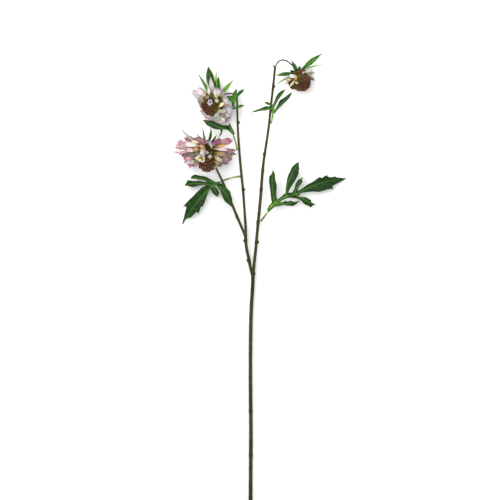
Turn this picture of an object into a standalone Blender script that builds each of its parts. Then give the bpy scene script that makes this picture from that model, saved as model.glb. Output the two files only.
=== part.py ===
"""Scabiosa flower spray, lying down: one forked stem, three nodding blooms and five cut leaves.

Metres, +Z up. The spray rests on z = 0 with its cut end at -Y and its blooms at +Y. It touches the
surface at the cut end, at the low petals of the blooms and at the tip of the large right leaf.
The photograph was taken from straight above, so a place on the spray is given as a spot in it
(x to the right, y down, in its pixels) with a height over the surface in millimetres.
"""

import math
import random

import bpy
import bmesh
from mathutils import Vector
from mathutils.geometry import delaunay_2d_cdt

MM = 0.001
WIDEST_BLOOM = 74.4                  # across the lowest bloom, in mm and in pixels
WIDEST_BLOOM_PIXELS = 62.0
MM_PER_PIXEL = WIDEST_BLOOM / WIDEST_BLOOM_PIXELS
ORIGIN_X = 260.2                     # the pixel column and row that lie over the origin
ORIGIN_Y = 280.5

STEM_SIDES = 2                       # bevel resolution: eight sides
STALK_SIDES = 1                      # six sides
MAIN_STEP = 24.0 * MM                # length of one straight piece of the main stem
BRANCH_STEP = 13.0 * MM
STALK_STEP = 4.0 * MM
MAIN_RADIUS = 2.2
BRANCH_RADIUS = 1.85
TOP_RADIUS = 1.4
STALK_RADIUS = 0.8
SEAT_GAP = 0.3 * MM

LEAF_THICKNESS = 0.8 * MM
PETAL_THICKNESS = 0.7 * MM
BRACT_THICKNESS = 0.8 * MM

# Stem routes: photograph x, y, height in mm, radius in mm
MAIN_STEM = [
    (250.5, 507.9, 2.3, MAIN_RADIUS), (250.7, 470.0, 2.7, MAIN_RADIUS),
    (250.9, 430.0, 3.2, MAIN_RADIUS), (250.5, 385.0, 3.8, MAIN_RADIUS),
    (250.5, 345.0, 4.5, MAIN_RADIUS), (251.2, 310.0, 5.2, MAIN_RADIUS),
    (252.7, 285.0, 6.0, MAIN_RADIUS), (252.9, 272.0, 6.5, MAIN_RADIUS),
]
RIGHT_BRANCH = [
    (252.9, 277.0, 6.3, BRANCH_RADIUS), (253.9, 266.0, 6.8, BRANCH_RADIUS),
    (255.6, 250.0, 7.8, BRANCH_RADIUS), (257.4, 230.0, 9.0, BRANCH_RADIUS),
    (260.3, 200.0, 10.6, 1.85), (263.2, 165.0, 12.2, 1.65), (268.3, 130.0, 13.4, 1.5),
    (271.0, 105.0, 14.2, TOP_RADIUS), (273.4, 84.0, 14.8, TOP_RADIUS), (275.1, 66.5, 15.0, TOP_RADIUS),
]
LEFT_BRANCH = [
    (252.9, 277.0, 6.3, 1.6), (251.0, 270.0, 6.8, BRANCH_RADIUS), (248.8, 259.0, 7.4, BRANCH_RADIUS),
    (246.2, 246.0, 8.0, BRANCH_RADIUS), (245.6, 233.0, 8.6, BRANCH_RADIUS),
]
INNER_LEFT_BRANCH = [
    (245.5, 238.0, 8.4, 1.6), (245.7, 228.0, 9.0, 1.6), (244.6, 212.0, 9.8, 1.55),
    (243.0, 190.0, 10.8, 1.55), (240.6, 166.0, 11.8, 1.55), (238.5, 140.0, 12.8, TOP_RADIUS),
    (237.5, 118.0, 13.4, 1.3), (237.0, 96.0, 13.6, 1.05),
]
OUTER_LEFT_BRANCH = [
    (245.5, 238.0, 8.4, 1.6), (243.2, 231.0, 8.7, 1.6), (237.0, 216.5, 9.1, 1.6),
    (230.5, 200.5, 9.5, 1.55), (223.0, 182.5, 9.5, 1.4), (216.0, 168.0, 9.2, 1.2),
    (211.5, 157.0, 8.8, 1.05), (208.5, 149.0, 8.5, 1.0), (207.0, 144.0, 8.9, 1.0),
]
RIGHT_STALK = [
    (275.1, 68.0, 14.9, 0.9), (276.9, 63.4, 15.4, STALK_RADIUS), (280.2, 60.5, 15.8, STALK_RADIUS),
    (284.8, 60.2, 15.6, STALK_RADIUS), (288.8, 62.4, 14.6, STALK_RADIUS),
    (292.2, 65.2, 13.7, STALK_RADIUS),
]
STUB = [(275.0, 68.6, 14.9, 0.9), (273.9, 66.4, 15.2, 0.8), (272.8, 64.9, 15.6, 0.6)]
UPPER_LEFT_STALK = [
    (237.0, 97.5, 13.6, 1.0), (235.0, 94.6, 12.6, STALK_RADIUS), (230.9, 93.6, 9.4, STALK_RADIUS),
    (226.0, 94.0, 5.4, STALK_RADIUS), (221.0, 96.4, 3.5, STALK_RADIUS),
]

# Knobs on the stems: photograph x, y, height in mm, size in mm
STEM_KNOBS = [
    (254.4, 273.6, 6.6, 1.5), (250.6, 411.0, 3.4, 2.5), (250.8, 455.0, 2.9, 2.5),
    (250.6, 498.0, 2.6, 2.5), (247.6, 260.4, 7.4, 1.55), (244.4, 240.6, 8.3, 1.55),
    (257.9, 242.0, 8.3, 1.55), (257.9, 222.5, 9.4, 2.1), (261.0, 189.5, 11.1, 1.6),
    (262.4, 170.5, 12.0, 1.4), (263.8, 154.0, 12.6, 1.35), (244.2, 189.4, 10.8, 1.4),
    (236.6, 217.0, 9.1, 1.5), (239.0, 122.5, 13.3, 1.25), (273.8, 86.4, 14.9, 1.8),
    (272.4, 88.4, 14.8, 1.0),
]

# Leaves: the rib goes from the stem through the blade; a lobe is its base, middle and tip, each with
# the photograph's x, y and the height in mm, and the lobe's greatest width in mm
LEAVES = {
    "leaf_right_large": {
        "rib": [(260.65, 221.2, 10.45), (264.8, 216.0, 11.6), (268.3, 211.2, 12.2),
                (272.9, 204.3, 12.4), (279.0, 200.4, 12.0), (285.9, 196.4, 11.4), (297.4, 193.4, 10.2)],
        "rib_width": 3.4,
        "lobes": [
            [(295.5, 194.2, 10.4), (319.0, 183.6, 8.0), (346.4, 178.4, 0.4), 15.5],
            [(320.0, 184.0, 8.2), (325.0, 178.5, 8.4), (328.4, 174.8, 8.6), 5.5],
            [(327.0, 182.0, 6.8), (332.5, 178.3, 6.6), (336.6, 176.2, 6.2), 5.5],
            [(321.0, 184.5, 8.2), (328.0, 187.6, 6.0), (334.0, 188.8, 4.6), 5.5],
            [(275.2, 203.2, 12.2), (272.2, 185.0, 14.5), (272.9, 169.8, 11.0), 8.0],
            [(286.6, 196.0, 11.4), (289.0, 179.5, 14.8), (298.9, 161.8, 11.5), 9.5],
            [(294.2, 194.4, 10.8), (297.6, 186.0, 13.2), (302.9, 177.4, 13.6), 5.6],
            [(296.6, 194.8, 10.4), (305.6, 200.4, 9.8), (316.1, 204.8, 6.5), 6.8],
            [(275.6, 203.2, 12.2), (286.5, 203.6, 12.6), (299.7, 200.6, 10.6), 5.8],
        ],
    },
    "leaf_left_large": {
        "rib": [(240.05, 176.3, 10.9), (232.2, 177.6, 8.0), (223.5, 180.4, 6.0), (219.4, 182.6, 7.4),
                (215.6, 184.6, 9.4), (211.0, 186.6, 10.0)],
        "rib_width": 2.6,
        "lobes": [
            [(213.5, 184.9, 9.6), (197.5, 201.5, 11.5), (181.8, 224.2, 5.5), 16.0],
            [(197.0, 202.0, 11.4), (189.0, 205.0, 10.5), (182.4, 206.8, 9.0), 6.0],
            [(197.0, 203.0, 11.4), (199.0, 208.6, 11.0), (198.6, 213.8, 10.0), 6.0],
            [(203.0, 195.0, 11.2), (204.0, 201.5, 11.4), (203.2, 207.2, 10.8), 6.0],
            [(216.0, 184.4, 9.4), (205.0, 179.4, 11.0), (190.6, 176.8, 8.6), 5.4],
            [(213.0, 185.4, 9.6), (199.0, 183.4, 11.2), (184.6, 184.4, 8.0), 6.6],
            [(211.8, 186.0, 9.8), (215.2, 190.6, 10.2), (218.2, 196.8, 9.6), 4.8],
            [(215.6, 186.0, 10.4), (224.4, 192.0, 14.6), (231.2, 206.8, 13.4), 8.6],
        ],
    },
    "leaf_left_middle": {
        "rib": [(236.95, 150.2, 13.65), (236.0, 144.0, 14.6), (233.6, 136.0, 15.6), (231.6, 130.6, 16.0)],
        "rib_width": 2.2,
        "lobes": [
            [(231.8, 131.2, 16.0), (217.4, 126.6, 17.6), (202.4, 119.8, 15.0), 7.4],
            [(231.8, 131.2, 16.0), (230.4, 127.0, 17.0), (229.6, 122.4, 17.4), 4.4],
            [(222.6, 128.4, 16.8), (221.6, 132.4, 15.4), (218.6, 137.6, 13.4), 2.4],
        ],
    },
    "leaf_right_upper": {
        "rib": [(271.1, 123.4, 14.95), (272.3, 117.6, 16.5), (273.0, 111.5, 17.4), (272.9, 106.0, 17.6)],
        "rib_width": 2.2,
        "lobes": [
            [(273.0, 108.8, 17.4), (262.6, 109.4, 19.0), (250.8, 112.6, 16.5), 4.6],
            [(272.9, 106.0, 17.6), (268.4, 103.8, 18.4), (264.2, 102.2, 18.6), 3.4],
            [(272.9, 106.4, 17.6), (278.0, 98.2, 19.2), (285.8, 89.3, 18.2), 5.0],
            [(273.0, 112.6, 17.4), (281.4, 103.6, 17.8), (291.9, 91.8, 15.6), 6.4],
        ],
    },
    "leaf_left_upper": {
        "rib": [(236.8, 100.6, 15.75), (235.4, 102.0, 16.4), (233.8, 104.4, 16.5), (233.0, 108.0, 16.0)],
        "rib_width": 2.2,
        "lobes": [
            [(234.8, 102.6, 16.4), (234.6, 95.0, 17.6), (237.2, 88.4, 17.4), 5.0],
            [(235.0, 100.6, 16.6), (238.0, 92.4, 18.4), (244.6, 89.3, 18.4), 4.0],
            [(234.6, 101.4, 16.6), (230.4, 97.4, 17.0), (225.6, 97.4, 16.4), 4.0],
            [(235.2, 101.0, 16.6), (231.6, 101.2, 17.2), (231.8, 105.8, 16.2), 6.4],
            [(233.2, 107.4, 16.2), (238.4, 106.9, 16.9), (244.6, 105.4, 16.6), 3.0],
        ],
    },
}

# Blooms. Lengths in mm. The axis points out of the head, the azimuth runs round it from the
# photograph's right through its top, and the lift is the angle over the plane of the ring.
# A petal is azimuth, reach from the axis, width, lift at the root, lift at the tip and how it is cut.
# A bract is the same up to its lifts, then where along it is widest, from 0 to 1, how far it bows
# aside and the degrees that it is turned round its own length.
BLOOMS = {
    "bloom_low_left": {
        "spot": (207.0, 148.0, 24.4),
        "axis": (0.0, -0.866, 0.5),
        "disc": 11.0,
        "head": {"radius": 9.8, "height": 31.4, "widest": 0.62, "beads": 32, "bead": 2.6},
        "bracts": [(100, 31, 3.8, -20, -24, 0.4, 0.0, 0), (80, 30, 4.2, -20, -24, 0.45, -2.2, 0),
                   (124, 22.5, 5.0, -20, -24, 0.4, 0.0, 0), (55, 22, 4.2, -20, -24, 0.4, -0.6, 0),
                   (145, 20, 4.4, -22, -22, 0.4, 0.0, 0), (172, 22, 4.4, -20, -22, 0.4, 0.0, 0),
                   (202, 22, 4.4, -14, -16, 0.4, 0.0, 0), (28, 20, 4.4, -22, -22, 0.4, 0.0, 0),
                   (4, 22, 4.4, -20, -22, 0.4, 0.0, 0), (-24, 22, 4.4, -14, -16, 0.4, 0.0, 0)],
        "outer": [(40, 37.6, 16, 10, -4, "broad"), (1, 33.9, 14, 8, 2, "broad"),
                  (-18, 36.0, 13, 8, 4, "broad"), (-24, 34.2, 13, 14, 16, "lobed"),
                  (-34, 34.5, 14, 26, 32, "frayed"), (-50, 31.4, 12, 30, 36, "frayed"),
                  (-66, 31.5, 9, 36, 44, "lobed"), (82, 22.4, 9, 10, 6, "lobed"),
                  (101, 22.0, 12, 4, 0, "lobed"), (117, 28.8, 13, -2, -10, "lobed"),
                  (136, 31.0, 8, -6, -18, "broad"), (135, 44.0, 6, -10, -26, "thin"),
                  (146, 32.6, 11, -4, -16, "broad"), (153, 40.0, 13, 3, -6, "lobed"),
                  (172, 38.4, 13, 6, 0, "frayed"), (184, 39.3, 6, 6, 2, "thin"),
                  (199, 35.0, 12, 8, 4, "lobed"), (203, 32.6, 12, 14, 14, "frayed"),
                  (215, 35.4, 12, 22, 26, "frayed"), (224, 34.0, 10, 30, 36, "lobed"),
                  (238, 31.8, 9, 34, 40, "lobed"), (256, 28.0, 12, 8, 8, "lobed"),
                  (-52, 28.0, 11, 8, 8, "lobed")],
        "inner": [(60, 21, 8, 30, 36, "broad"), (122, 22, 9, 34, 40, "lobed"),
                  (159, 25, 11, 26, 32, "frayed"), (200, 23, 10, 30, 40, "frayed"),
                  (226, 23, 9, 40, 48, "lobed"), (324, 21, 10, 34, 42, "lobed"),
                  (14, 24, 10, 28, 34, "lobed")],
    },
    "bloom_upper_left": {
        "spot": (214.4, 103.0, 12.6),
        "axis": (-0.42, -0.33, 0.845),
        "disc": 12.0,
        "head": {"radius": 12.6, "height": 17.4, "widest": 0.35, "beads": 34, "bead": 2.8},
        "bracts": [(109, 45.4, 10.4, -12, -16, 0.6, -0.8, 0), (93, 38.2, 3.6, -12, -14, 0.5, 0.0, 0),
                   (87, 32.0, 9.8, -12, -14, 0.45, 0.0, 0), (55, 38.2, 4.8, -10, -12, 0.5, 0.4, 0),
                   (132, 41.0, 4.2, -12, -14, 0.4, -0.8, 0), (148, 24, 5.0, -12, -12, 0.4, 0.0, 0),
                   (-6, 19, 5.0, -12, -14, 0.4, 0.0, 0), (-34, 22, 4.6, -8, -10, 0.4, 0.0, 0),
                   (172, 18, 4.6, -8, -8, 0.4, 0.0, 0)],
        "outer": [(98, 33.0, 6.4, 6, 2, "thin"), (108, 25.0, 5, 8, 4, "thin"),
                  (143, 27.6, 9, 6, 2, "broad"), (159, 31.4, 11, 2, -2, "lobed"),
                  (173, 23.4, 9, 6, 8, "frayed"), (196, 19.7, 8, 8, 14, "lobed"),
                  (225, 23.0, 9, 4, 10, "lobed"), (245, 23.6, 9, 2, 8, "frayed"),
                  (270, 23.8, 10, 2, 2, "lobed"), (-65, 27.4, 12, 2, 2, "broad"),
                  (-45, 27.5, 12, 4, 0, "lobed"), (-20, 26.3, 15, 6, -2, "broad"),
                  (1, 24.2, 14, 10, 0, "broad"), (21, 21.6, 10, 12, 6, "lobed"),
                  (43, 20.0, 10, 16, 12, "lobed"), (58, 24.6, 11, 14, 8, "broad"),
                  (78, 21.4, 10, 14, 8, "lobed")],
        "inner": [(59, 22.5, 9, 38, 44, "lobed"), (89, 20.5, 6, 36, 44, "thin"),
                  (126, 18.8, 8, 34, 44, "lobed"), (8, 19.5, 9, 34, 40, "broad"),
                  (-40, 20.0, 10, 34, 44, "lobed")],
    },
    "bloom_right": {
        "spot": (297.8, 73.4, 15.5),
        "axis": (0.36, -0.88, 0.3),
        "disc": 10.0,
        "head": {"radius": 10.9, "height": 23.0, "widest": 0.45, "beads": 30, "bead": 2.6},
        "bracts": [(15, 37.9, 8.0, -12, -14, 0.45, 0.6, -58), (-9, 33.0, 2.8, 2, 2, 0.3, 0.6, -58),
                   (99, 26.9, 6.0, -20, -22, 0.3, 0.0, 0), (176, 25.8, 5.6, -10, -12, 0.45, 0.0, 60),
                   (197, 30.2, 2.8, 0, 14, 0.3, 1.2, 60), (66, 10.9, 5.0, -20, -22, 0.4, 0.0, 0),
                   (138, 11.0, 5.0, -16, -18, 0.4, 0.0, 0), (-60, 14.0, 4.6, -10, -12, 0.4, 0.0, 0),
                   (-120, 14.0, 4.6, -10, -12, 0.4, 0.0, 0)],
        "outer": [(166, 17.4, 9, 14, 20, "broad"), (-166, 17.0, 8, 14, 20, "lobed"),
                  (165, 23.4, 6, 30, 50, "lobed"), (-20, 22.4, 9, 10, 10, "broad"),
                  (-6, 17.0, 8, 16, 20, "broad"), (-42, 26.0, 7, 26, 32, "thin"),
                  (20, 13.6, 8, 10, 10, "lobed"), (-70, 17.0, 9, 12, 18, "lobed"),
                  (-100, 15.5, 9, 14, 20, "lobed"), (-132, 16.5, 9, 12, 18, "lobed")],
        "inner": [],
    },
}

DISC_HALF = 1.0                      # the ring that carries the petals, half its thickness
LAYER_LIFT = 6.0                     # degrees that every second outer petal starts steeper
CUP_DEPTH = 5.0                      # the green cup behind it, below the plane of the ring
CUP_FOOT = 2.2
GOLDEN_ANGLE = 180 * (3 - math.sqrt(5))
ROUNDING = {"broad": 0.5, "lobed": 0.2, "frayed": 0.12, "thin": 0.9}   # narrower at a petal's end

COLOURS = {                          # base colour and roughness
    "stem": ("#41451f", 0.7),
    "leaf": ("#39532c", 0.6),
    "bract": ("#5c8636", 0.6),
    "petal_pink": ("#d8b4bb", 0.8),
    "petal_white": ("#e2dcd6", 0.8),
    "beads": ("#6b4a39", 0.55),
}


def clear_scene():
    for item in list(bpy.data.objects):
        bpy.data.objects.remove(item, do_unlink=True)


def linear(hex_colour):
    """sRGB hex to the linear colour that a shader takes."""
    channels = [int(hex_colour[i:i + 2], 16) / 255 for i in (1, 3, 5)]
    return [c / 12.92 if c <= 0.04045 else ((c + 0.055) / 1.055) ** 2.4 for c in channels] + [1.0]


def material_for(name, finish):
    colour, roughness = COLOURS[finish]
    material = bpy.data.materials.new(name)
    material.use_nodes = True
    shader = material.node_tree.nodes["Principled BSDF"]
    shader.inputs["Base Color"].default_value = linear(colour)
    shader.inputs["Roughness"].default_value = roughness
    return material


def spot(x, y, height):
    """A place on the spray, from its spot in the photograph and its height in mm."""
    return Vector(((x - ORIGIN_X) * MM_PER_PIXEL, (ORIGIN_Y - y) * MM_PER_PIXEL, height)) * MM


def smooth_route(points, values, step):
    """Points on a smooth curve through the given ones, about a step apart, with their values."""
    route, sizes = [], []
    for i in range(len(points) - 1):
        before = points[max(i - 1, 0)]
        after = points[min(i + 2, len(points) - 1)]
        start, end = points[i], points[i + 1]
        pieces = max(1, round((end - start).length / step))
        for k in range(pieces):
            t = k / pieces
            bend_in, bend_out = (end - before) / 2, (after - start) / 2
            route.append(start * (2 * t**3 - 3 * t**2 + 1) + end * (3 * t**2 - 2 * t**3)
                         + bend_in * (t**3 - 2 * t**2 + t) + bend_out * (t**3 - t**2))
            sizes.append(values[i] * (1 - t) + values[i + 1] * t)
    return route + [points[-1]], sizes + [values[-1]]


def link(name, mesh, collection):
    piece = bpy.data.objects.new(name, mesh)
    collection.objects.link(piece)
    return piece


def mesh_of(piece):
    """The piece's shape with its modifiers, as a mesh in world space."""
    bpy.context.view_layer.update()
    shaped = piece.evaluated_get(bpy.context.evaluated_depsgraph_get())
    mesh = bpy.data.meshes.new_from_object(shaped)
    mesh.transform(piece.matrix_world)
    return mesh


def tube(route, radii, collection, sides=STEM_SIDES):
    """A round stem along a route, closed at both ends, as a mesh."""
    curve = bpy.data.curves.new("route", "CURVE")
    curve.dimensions = "3D"
    curve.bevel_depth = 1.0 * MM
    curve.bevel_resolution = sides
    curve.use_fill_caps = True
    line = curve.splines.new("POLY")
    line.points.add(len(route) - 1)
    for point, place, radius in zip(line.points, route, radii):
        point.co = (*place, 1.0)
        point.radius = radius
    piece = link("route", curve, collection)
    mesh = mesh_of(piece)
    bpy.data.objects.remove(piece)
    body = bmesh.new()
    body.from_mesh(mesh)
    bmesh.ops.remove_doubles(body, verts=body.verts, dist=0.01 * MM)
    bmesh.ops.triangulate(body, faces=body.faces)
    body.to_mesh(mesh)
    body.free()
    return link("tube", mesh, collection)


def stem_tube(points, collection, ends=(), step=BRANCH_STEP, sides=STEM_SIDES):
    places = [spot(*p[:3]) for p in points] + [e[0] for e in ends]
    radii = [p[3] for p in points] + [e[1] for e in ends]
    route, sizes = smooth_route(places, radii, step)
    return tube(route, sizes, collection, sides)


def bead(place, radius, collection, length=1.0, direction=Vector((0, 0, 1)), segments=5, rings=4):
    """A small round bead; length stretches it along its direction."""
    body = bmesh.new()
    bmesh.ops.create_uvsphere(body, u_segments=segments, v_segments=rings, radius=radius)
    turn = direction.to_track_quat("Z", "Y")
    for vertex in body.verts:
        vertex.co.z *= length
        vertex.co = turn @ vertex.co + place
    mesh = bpy.data.meshes.new("bead")
    body.to_mesh(mesh)
    body.free()
    return link("bead", mesh, collection)


def islands(body):
    """The separate closed bodies in a bmesh, as lists of faces."""
    left, groups = set(body.faces), []
    while left:
        group, front = [], [left.pop()]
        while front:
            face = front.pop()
            group.append(face)
            for edge in face.edges:
                for other in edge.link_faces:
                    if other in left:
                        left.remove(other)
                        front.append(other)
        groups.append(group)
    return groups


def volume(faces):
    """Signed volume of a closed set of triangles."""
    return sum(f.verts[0].co.dot(f.verts[1].co.cross(f.verts[2].co)) for f in faces) / 6


def fuse(name, pieces, collection, finish):
    """Join the pieces into one closed body; sealed hollows are filled and loose scraps dropped."""
    first, rest = pieces[0], pieces[1:]
    gathered = bpy.data.collections.new(name + "_pieces")
    bpy.context.scene.collection.children.link(gathered)
    for piece in rest:
        gathered.objects.link(piece)
    if rest:
        join = first.modifiers.new("join", "BOOLEAN")
        join.operation = "UNION"
        join.operand_type = "COLLECTION"
        join.collection = gathered
        join.solver = "MANIFOLD"
    mesh = mesh_of(first)
    mesh.name = name
    for piece in pieces:
        bpy.data.objects.remove(piece)
    bpy.data.collections.remove(gathered)
    body = bmesh.new()
    body.from_mesh(mesh)
    bmesh.ops.triangulate(body, faces=body.faces)
    groups = sorted(islands(body), key=volume)
    for group in groups[:-1]:
        bmesh.ops.delete(body, geom=group, context="FACES")
    bmesh.ops.delete(body, geom=[v for v in body.verts if not v.link_faces], context="VERTS")
    body.to_mesh(mesh)
    body.free()
    mesh.shade_smooth()
    mesh.set_sharp_from_angle(angle=math.radians(40))
    mesh.materials.clear()
    mesh.materials.append(material_for(name, finish))
    return link(name, mesh, collection)


def lobe_outline(lobe, steps=5):
    """A lobe's outline: a slim leaf shape along its middle line, as flat points."""
    start, middle, tip = (spot(*p).to_2d() for p in lobe[:3])
    half = lobe[3] * MM / 2
    left, right = [], []
    for i in range(steps):
        t = i / (steps - 1)
        place = start * (1 - t) ** 2 + (4 * middle - start - tip) * t * (1 - t) + tip * t ** 2
        along = (start * (2 * t - 2) + (4 * middle - start - tip) * (1 - 2 * t) + tip * 2 * t)
        across = Vector((-along.y, along.x)).normalized()
        reach = half * (0.35 + 0.65 * math.sin(math.pi * min(t * 0.95, 1.0))) * min(1.0, 4.2 * (1 - t))
        if i == steps - 1:
            left.append(tip)
        else:
            left.append(place + across * reach)
            right.append(place - across * reach)
    return left + right[::-1]


def middle_line(lobe, steps):
    """Points along the middle of a lobe, with their heights."""
    start, middle, tip = (spot(*p) for p in lobe[:3])
    for i in range(steps):
        t = i / (steps - 1)
        yield start * (1 - t) ** 2 + (4 * middle - start - tip) * t * (1 - t) + tip * t ** 2


def leaf(name, collection):
    """A cut leaf: one thin arched blade in the outline of its lobes, on a round stalk."""
    plan = LEAVES[name]
    stalk = [spot(*p) for p in plan["rib"]]
    route, _ = smooth_route(stalk, [1.0] * len(stalk), 8 * MM)
    ribs = route + [p for lobe in plan["lobes"] for p in middle_line(lobe, 4)]

    def height(place):
        near = [((place - rib.to_2d()).length, rib.z) for rib in ribs]
        weights = [1 / (d + 0.6 * MM) ** 3 for d, _ in near]
        level = sum(w * z for w, (_, z) in zip(weights, near)) / sum(weights)
        edge = min(d for d, _ in near)
        return level + 0.28 * edge

    points, faces = [], []

    def add_outline(outline):
        faces.append(list(range(len(points), len(points) + len(outline))))
        points.extend(outline)

    for lobe in plan["lobes"]:
        add_outline(lobe_outline(lobe))
    blade_route = [p.to_2d() for p in route[len(route) // 3:]]
    half = plan["rib_width"] * MM / 2
    left, right = [], []
    for i, place in enumerate(blade_route):
        along = blade_route[min(i + 1, len(blade_route) - 1)] - blade_route[max(i - 1, 0)]
        across = Vector((-along.y, along.x)).normalized() * half * min(1.0, 0.3 + i / 4)
        left.append(place + across)
        right.append(place - across)
    add_outline(left + right[::-1])
    for lobe in plan["lobes"]:
        points.extend(p.to_2d() for p in middle_line(lobe, 4))
    flat, _, triangles, _, _, _ = delaunay_2d_cdt(points, [], faces, 1, 0.02 * MM)

    body = bmesh.new()
    top = [body.verts.new((*p, height(p) + LEAF_THICKNESS / 2)) for p in flat]
    low = [body.verts.new((*p, height(p) - LEAF_THICKNESS / 2)) for p in flat]
    used = {}
    for corner in triangles:
        body.faces.new([top[i] for i in corner])
        body.faces.new([low[i] for i in reversed(corner)])
        for a, b in zip(corner, corner[1:] + corner[:1]):
            used[(a, b)] = used.get((a, b), 0) + 1
    for a, b in used:
        if (b, a) not in used:
            body.faces.new([low[a], low[b], top[b]])
            body.faces.new([low[a], top[b], top[a]])
    bmesh.ops.delete(body, geom=[v for v in body.verts if not v.link_faces], context="VERTS")
    mesh = bpy.data.meshes.new(name)
    body.to_mesh(mesh)
    body.free()
    blade = link("blade", mesh, collection)
    stalk_radii = [1.15 - 0.6 * i / (len(route) - 1) for i in range(len(route))]
    return fuse(name, [blade, tube(route, stalk_radii, collection, 1)], collection, "leaf")


class Bloom:
    """The frame of one bloom: its centre, its axis and the two directions of its ring."""

    def __init__(self, plan):
        self.centre = spot(*plan["spot"])
        self.axis = Vector(plan["axis"]).normalized()
        right = Vector((1, 0, 0))
        self.right = (right - self.axis * right.dot(self.axis)).normalized()
        self.up = self.axis.cross(self.right)

    def out(self, azimuth):
        angle = math.radians(azimuth)
        return self.right * math.cos(angle) + self.up * math.sin(angle)

    def at(self, azimuth, reach, rise):
        return self.centre + self.out(azimuth) * reach * MM + self.axis * rise * MM

    def back(self, depth):
        """A place behind the bloom on its axis."""
        return self.centre - self.axis * depth * MM


def turned(bloom, profile, sides, collection):
    """A shape turned round the bloom's axis from (radius, rise) pairs that start at its foot."""
    outline = bpy.data.meshes.new("profile")
    outline.from_pydata([(r * MM, 0, h * MM) for r, h in reversed(profile)],
                        [(i, i + 1) for i in range(len(profile) - 1)], [])
    piece = link("turned", outline, collection)
    turn = piece.modifiers.new("turn", "SCREW")
    turn.steps = sides
    turn.render_steps = sides
    turn.use_merge_vertices = True
    turn.merge_threshold = 0.01 * MM
    piece.rotation_mode = "QUATERNION"
    piece.rotation_quaternion = bloom.axis.to_track_quat("Z", "Y")
    piece.location = bloom.centre
    mesh = mesh_of(piece)
    bpy.data.objects.remove(piece)
    body = bmesh.new()
    body.from_mesh(mesh)
    bmesh.ops.triangulate(body, faces=body.faces)
    body.to_mesh(mesh)
    body.free()
    return link("turned", mesh, collection)


def petal_line(row, root, t):
    """Radius and rise of a petal's middle line at t, and its lift there, by short straight steps."""
    _, reach, _, lift_in, lift_out = row
    length = (reach - root) * t
    radius, rise, parts = root, 0.0, 8
    for i in range(parts):
        lift = math.radians(lift_in + (lift_out - lift_in) * t * (i + 0.5) / parts)
        radius += math.cos(lift) * length / parts
        rise += math.sin(lift) * length / parts
    return radius, rise, math.radians(lift_in + (lift_out - lift_in) * t)


def blade(bloom, row, root, rise, shape, tip, wave, grid_size, thickness, collection, bow=0.0, turn=0.0):
    """A petal or bract: a thin waved blade on a small grid, given its thickness by Solidify."""
    azimuth, _, width, _, _ = row
    columns, rows = grid_size
    out, side = bloom.out(azimuth), bloom.out(azimuth + 90)
    body = bmesh.new()
    grid = []
    for j in range(rows + 1):
        line = []
        for i in range(columns + 1):
            s = 2 * i / columns - 1
            t = j / rows * tip(s)
            radius, climb, lift = petal_line(row, root, t)
            over = bloom.axis * math.cos(lift) - out * math.sin(lift)
            twist = math.radians(turn) * min(1.0, 1.8 * t)
            across = side * math.cos(twist) + over * math.sin(twist)
            over = over * math.cos(twist) - side * math.sin(twist)
            aside = s * shape(t) * width / 2 + bow * math.sin(math.pi * t)
            place = bloom.centre + out * radius * MM + bloom.axis * (rise + climb) * MM
            line.append(body.verts.new(place + across * aside * MM + over * wave(s, t) * MM))
        grid.append(line)
    for j in range(rows):
        for i in range(columns):
            a, b, c, d = grid[j][i], grid[j][i + 1], grid[j + 1][i + 1], grid[j + 1][i]
            if (i + j) % 2:
                body.faces.new((a, b, c))
                body.faces.new((a, c, d))
            else:
                body.faces.new((a, b, d))
                body.faces.new((b, c, d))
    bmesh.ops.recalc_face_normals(body, faces=body.faces)
    mesh = bpy.data.meshes.new("blade")
    body.to_mesh(mesh)
    body.free()
    piece = link("blade", mesh, collection)
    wall = piece.modifiers.new("wall", "SOLIDIFY")
    wall.thickness = thickness
    wall.offset = 0.0
    shaped = link("blade", mesh_of(piece), collection)
    bpy.data.objects.remove(piece)
    return shaped


def petal(bloom, row, root, rise, columns, draw, collection):
    """A petal with blunt teeth at its tip and a wave across it."""
    *row, cut = row
    phase, depth = draw.uniform(0, math.tau), draw.uniform(0.7, 1.3)

    def shape(t):
        swell = 0.2 + 0.8 * math.sin(math.pi * min(0.02 + 0.6 * t, 0.5))
        return swell * (1 - ROUNDING[cut] * max(0.0, 2 * t - 1) ** 2)

    def tip(s):
        return 1.0 - 0.10 * s * s - 0.06 * math.cos(2 * math.pi * s + phase)

    def wave(s, t):
        return depth * t * (1.2 * s * s + 0.8 * math.sin(4.2 * s + phase))

    return blade(bloom, row, root, rise, shape, tip, wave, (columns, 2), PETAL_THICKNESS, collection)


def bract(bloom, row, root, rise, collection):
    """A narrow pointed bract, folded along its middle."""
    *row, widest, bow, turn = row

    def shape(t):
        if t < widest:
            return 0.25 + 0.75 * math.sin(math.pi / 2 * t / widest)
        return max(0.08, math.cos(math.pi / 2 * (t - widest) / (1 - widest)) ** 1.2)

    def tip(s):
        return 1.0 - 0.04 * abs(s)

    def wave(s, t):
        return 0.13 * row[2] * abs(s) * shape(t)

    return blade(bloom, row, root, rise, shape, tip, wave, (2, 3), BRACT_THICKNESS, collection, bow, turn)


def bloom_bracts(name, plan, bloom, collection):
    """The green cup behind the petals, with its bracts."""
    disc = plan["disc"]
    cup = [(0, -CUP_DEPTH), (CUP_FOOT, -CUP_DEPTH), (disc * 0.62, -3.4), (disc * 0.8, -1.3), (0, -1.3)]
    pieces = [turned(bloom, cup, 10, collection)]
    for row in plan["bracts"]:
        pieces.append(bract(bloom, row, disc * 0.45, -2.6, collection))
    return fuse(name + "_bracts", pieces, collection, "bract")


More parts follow.
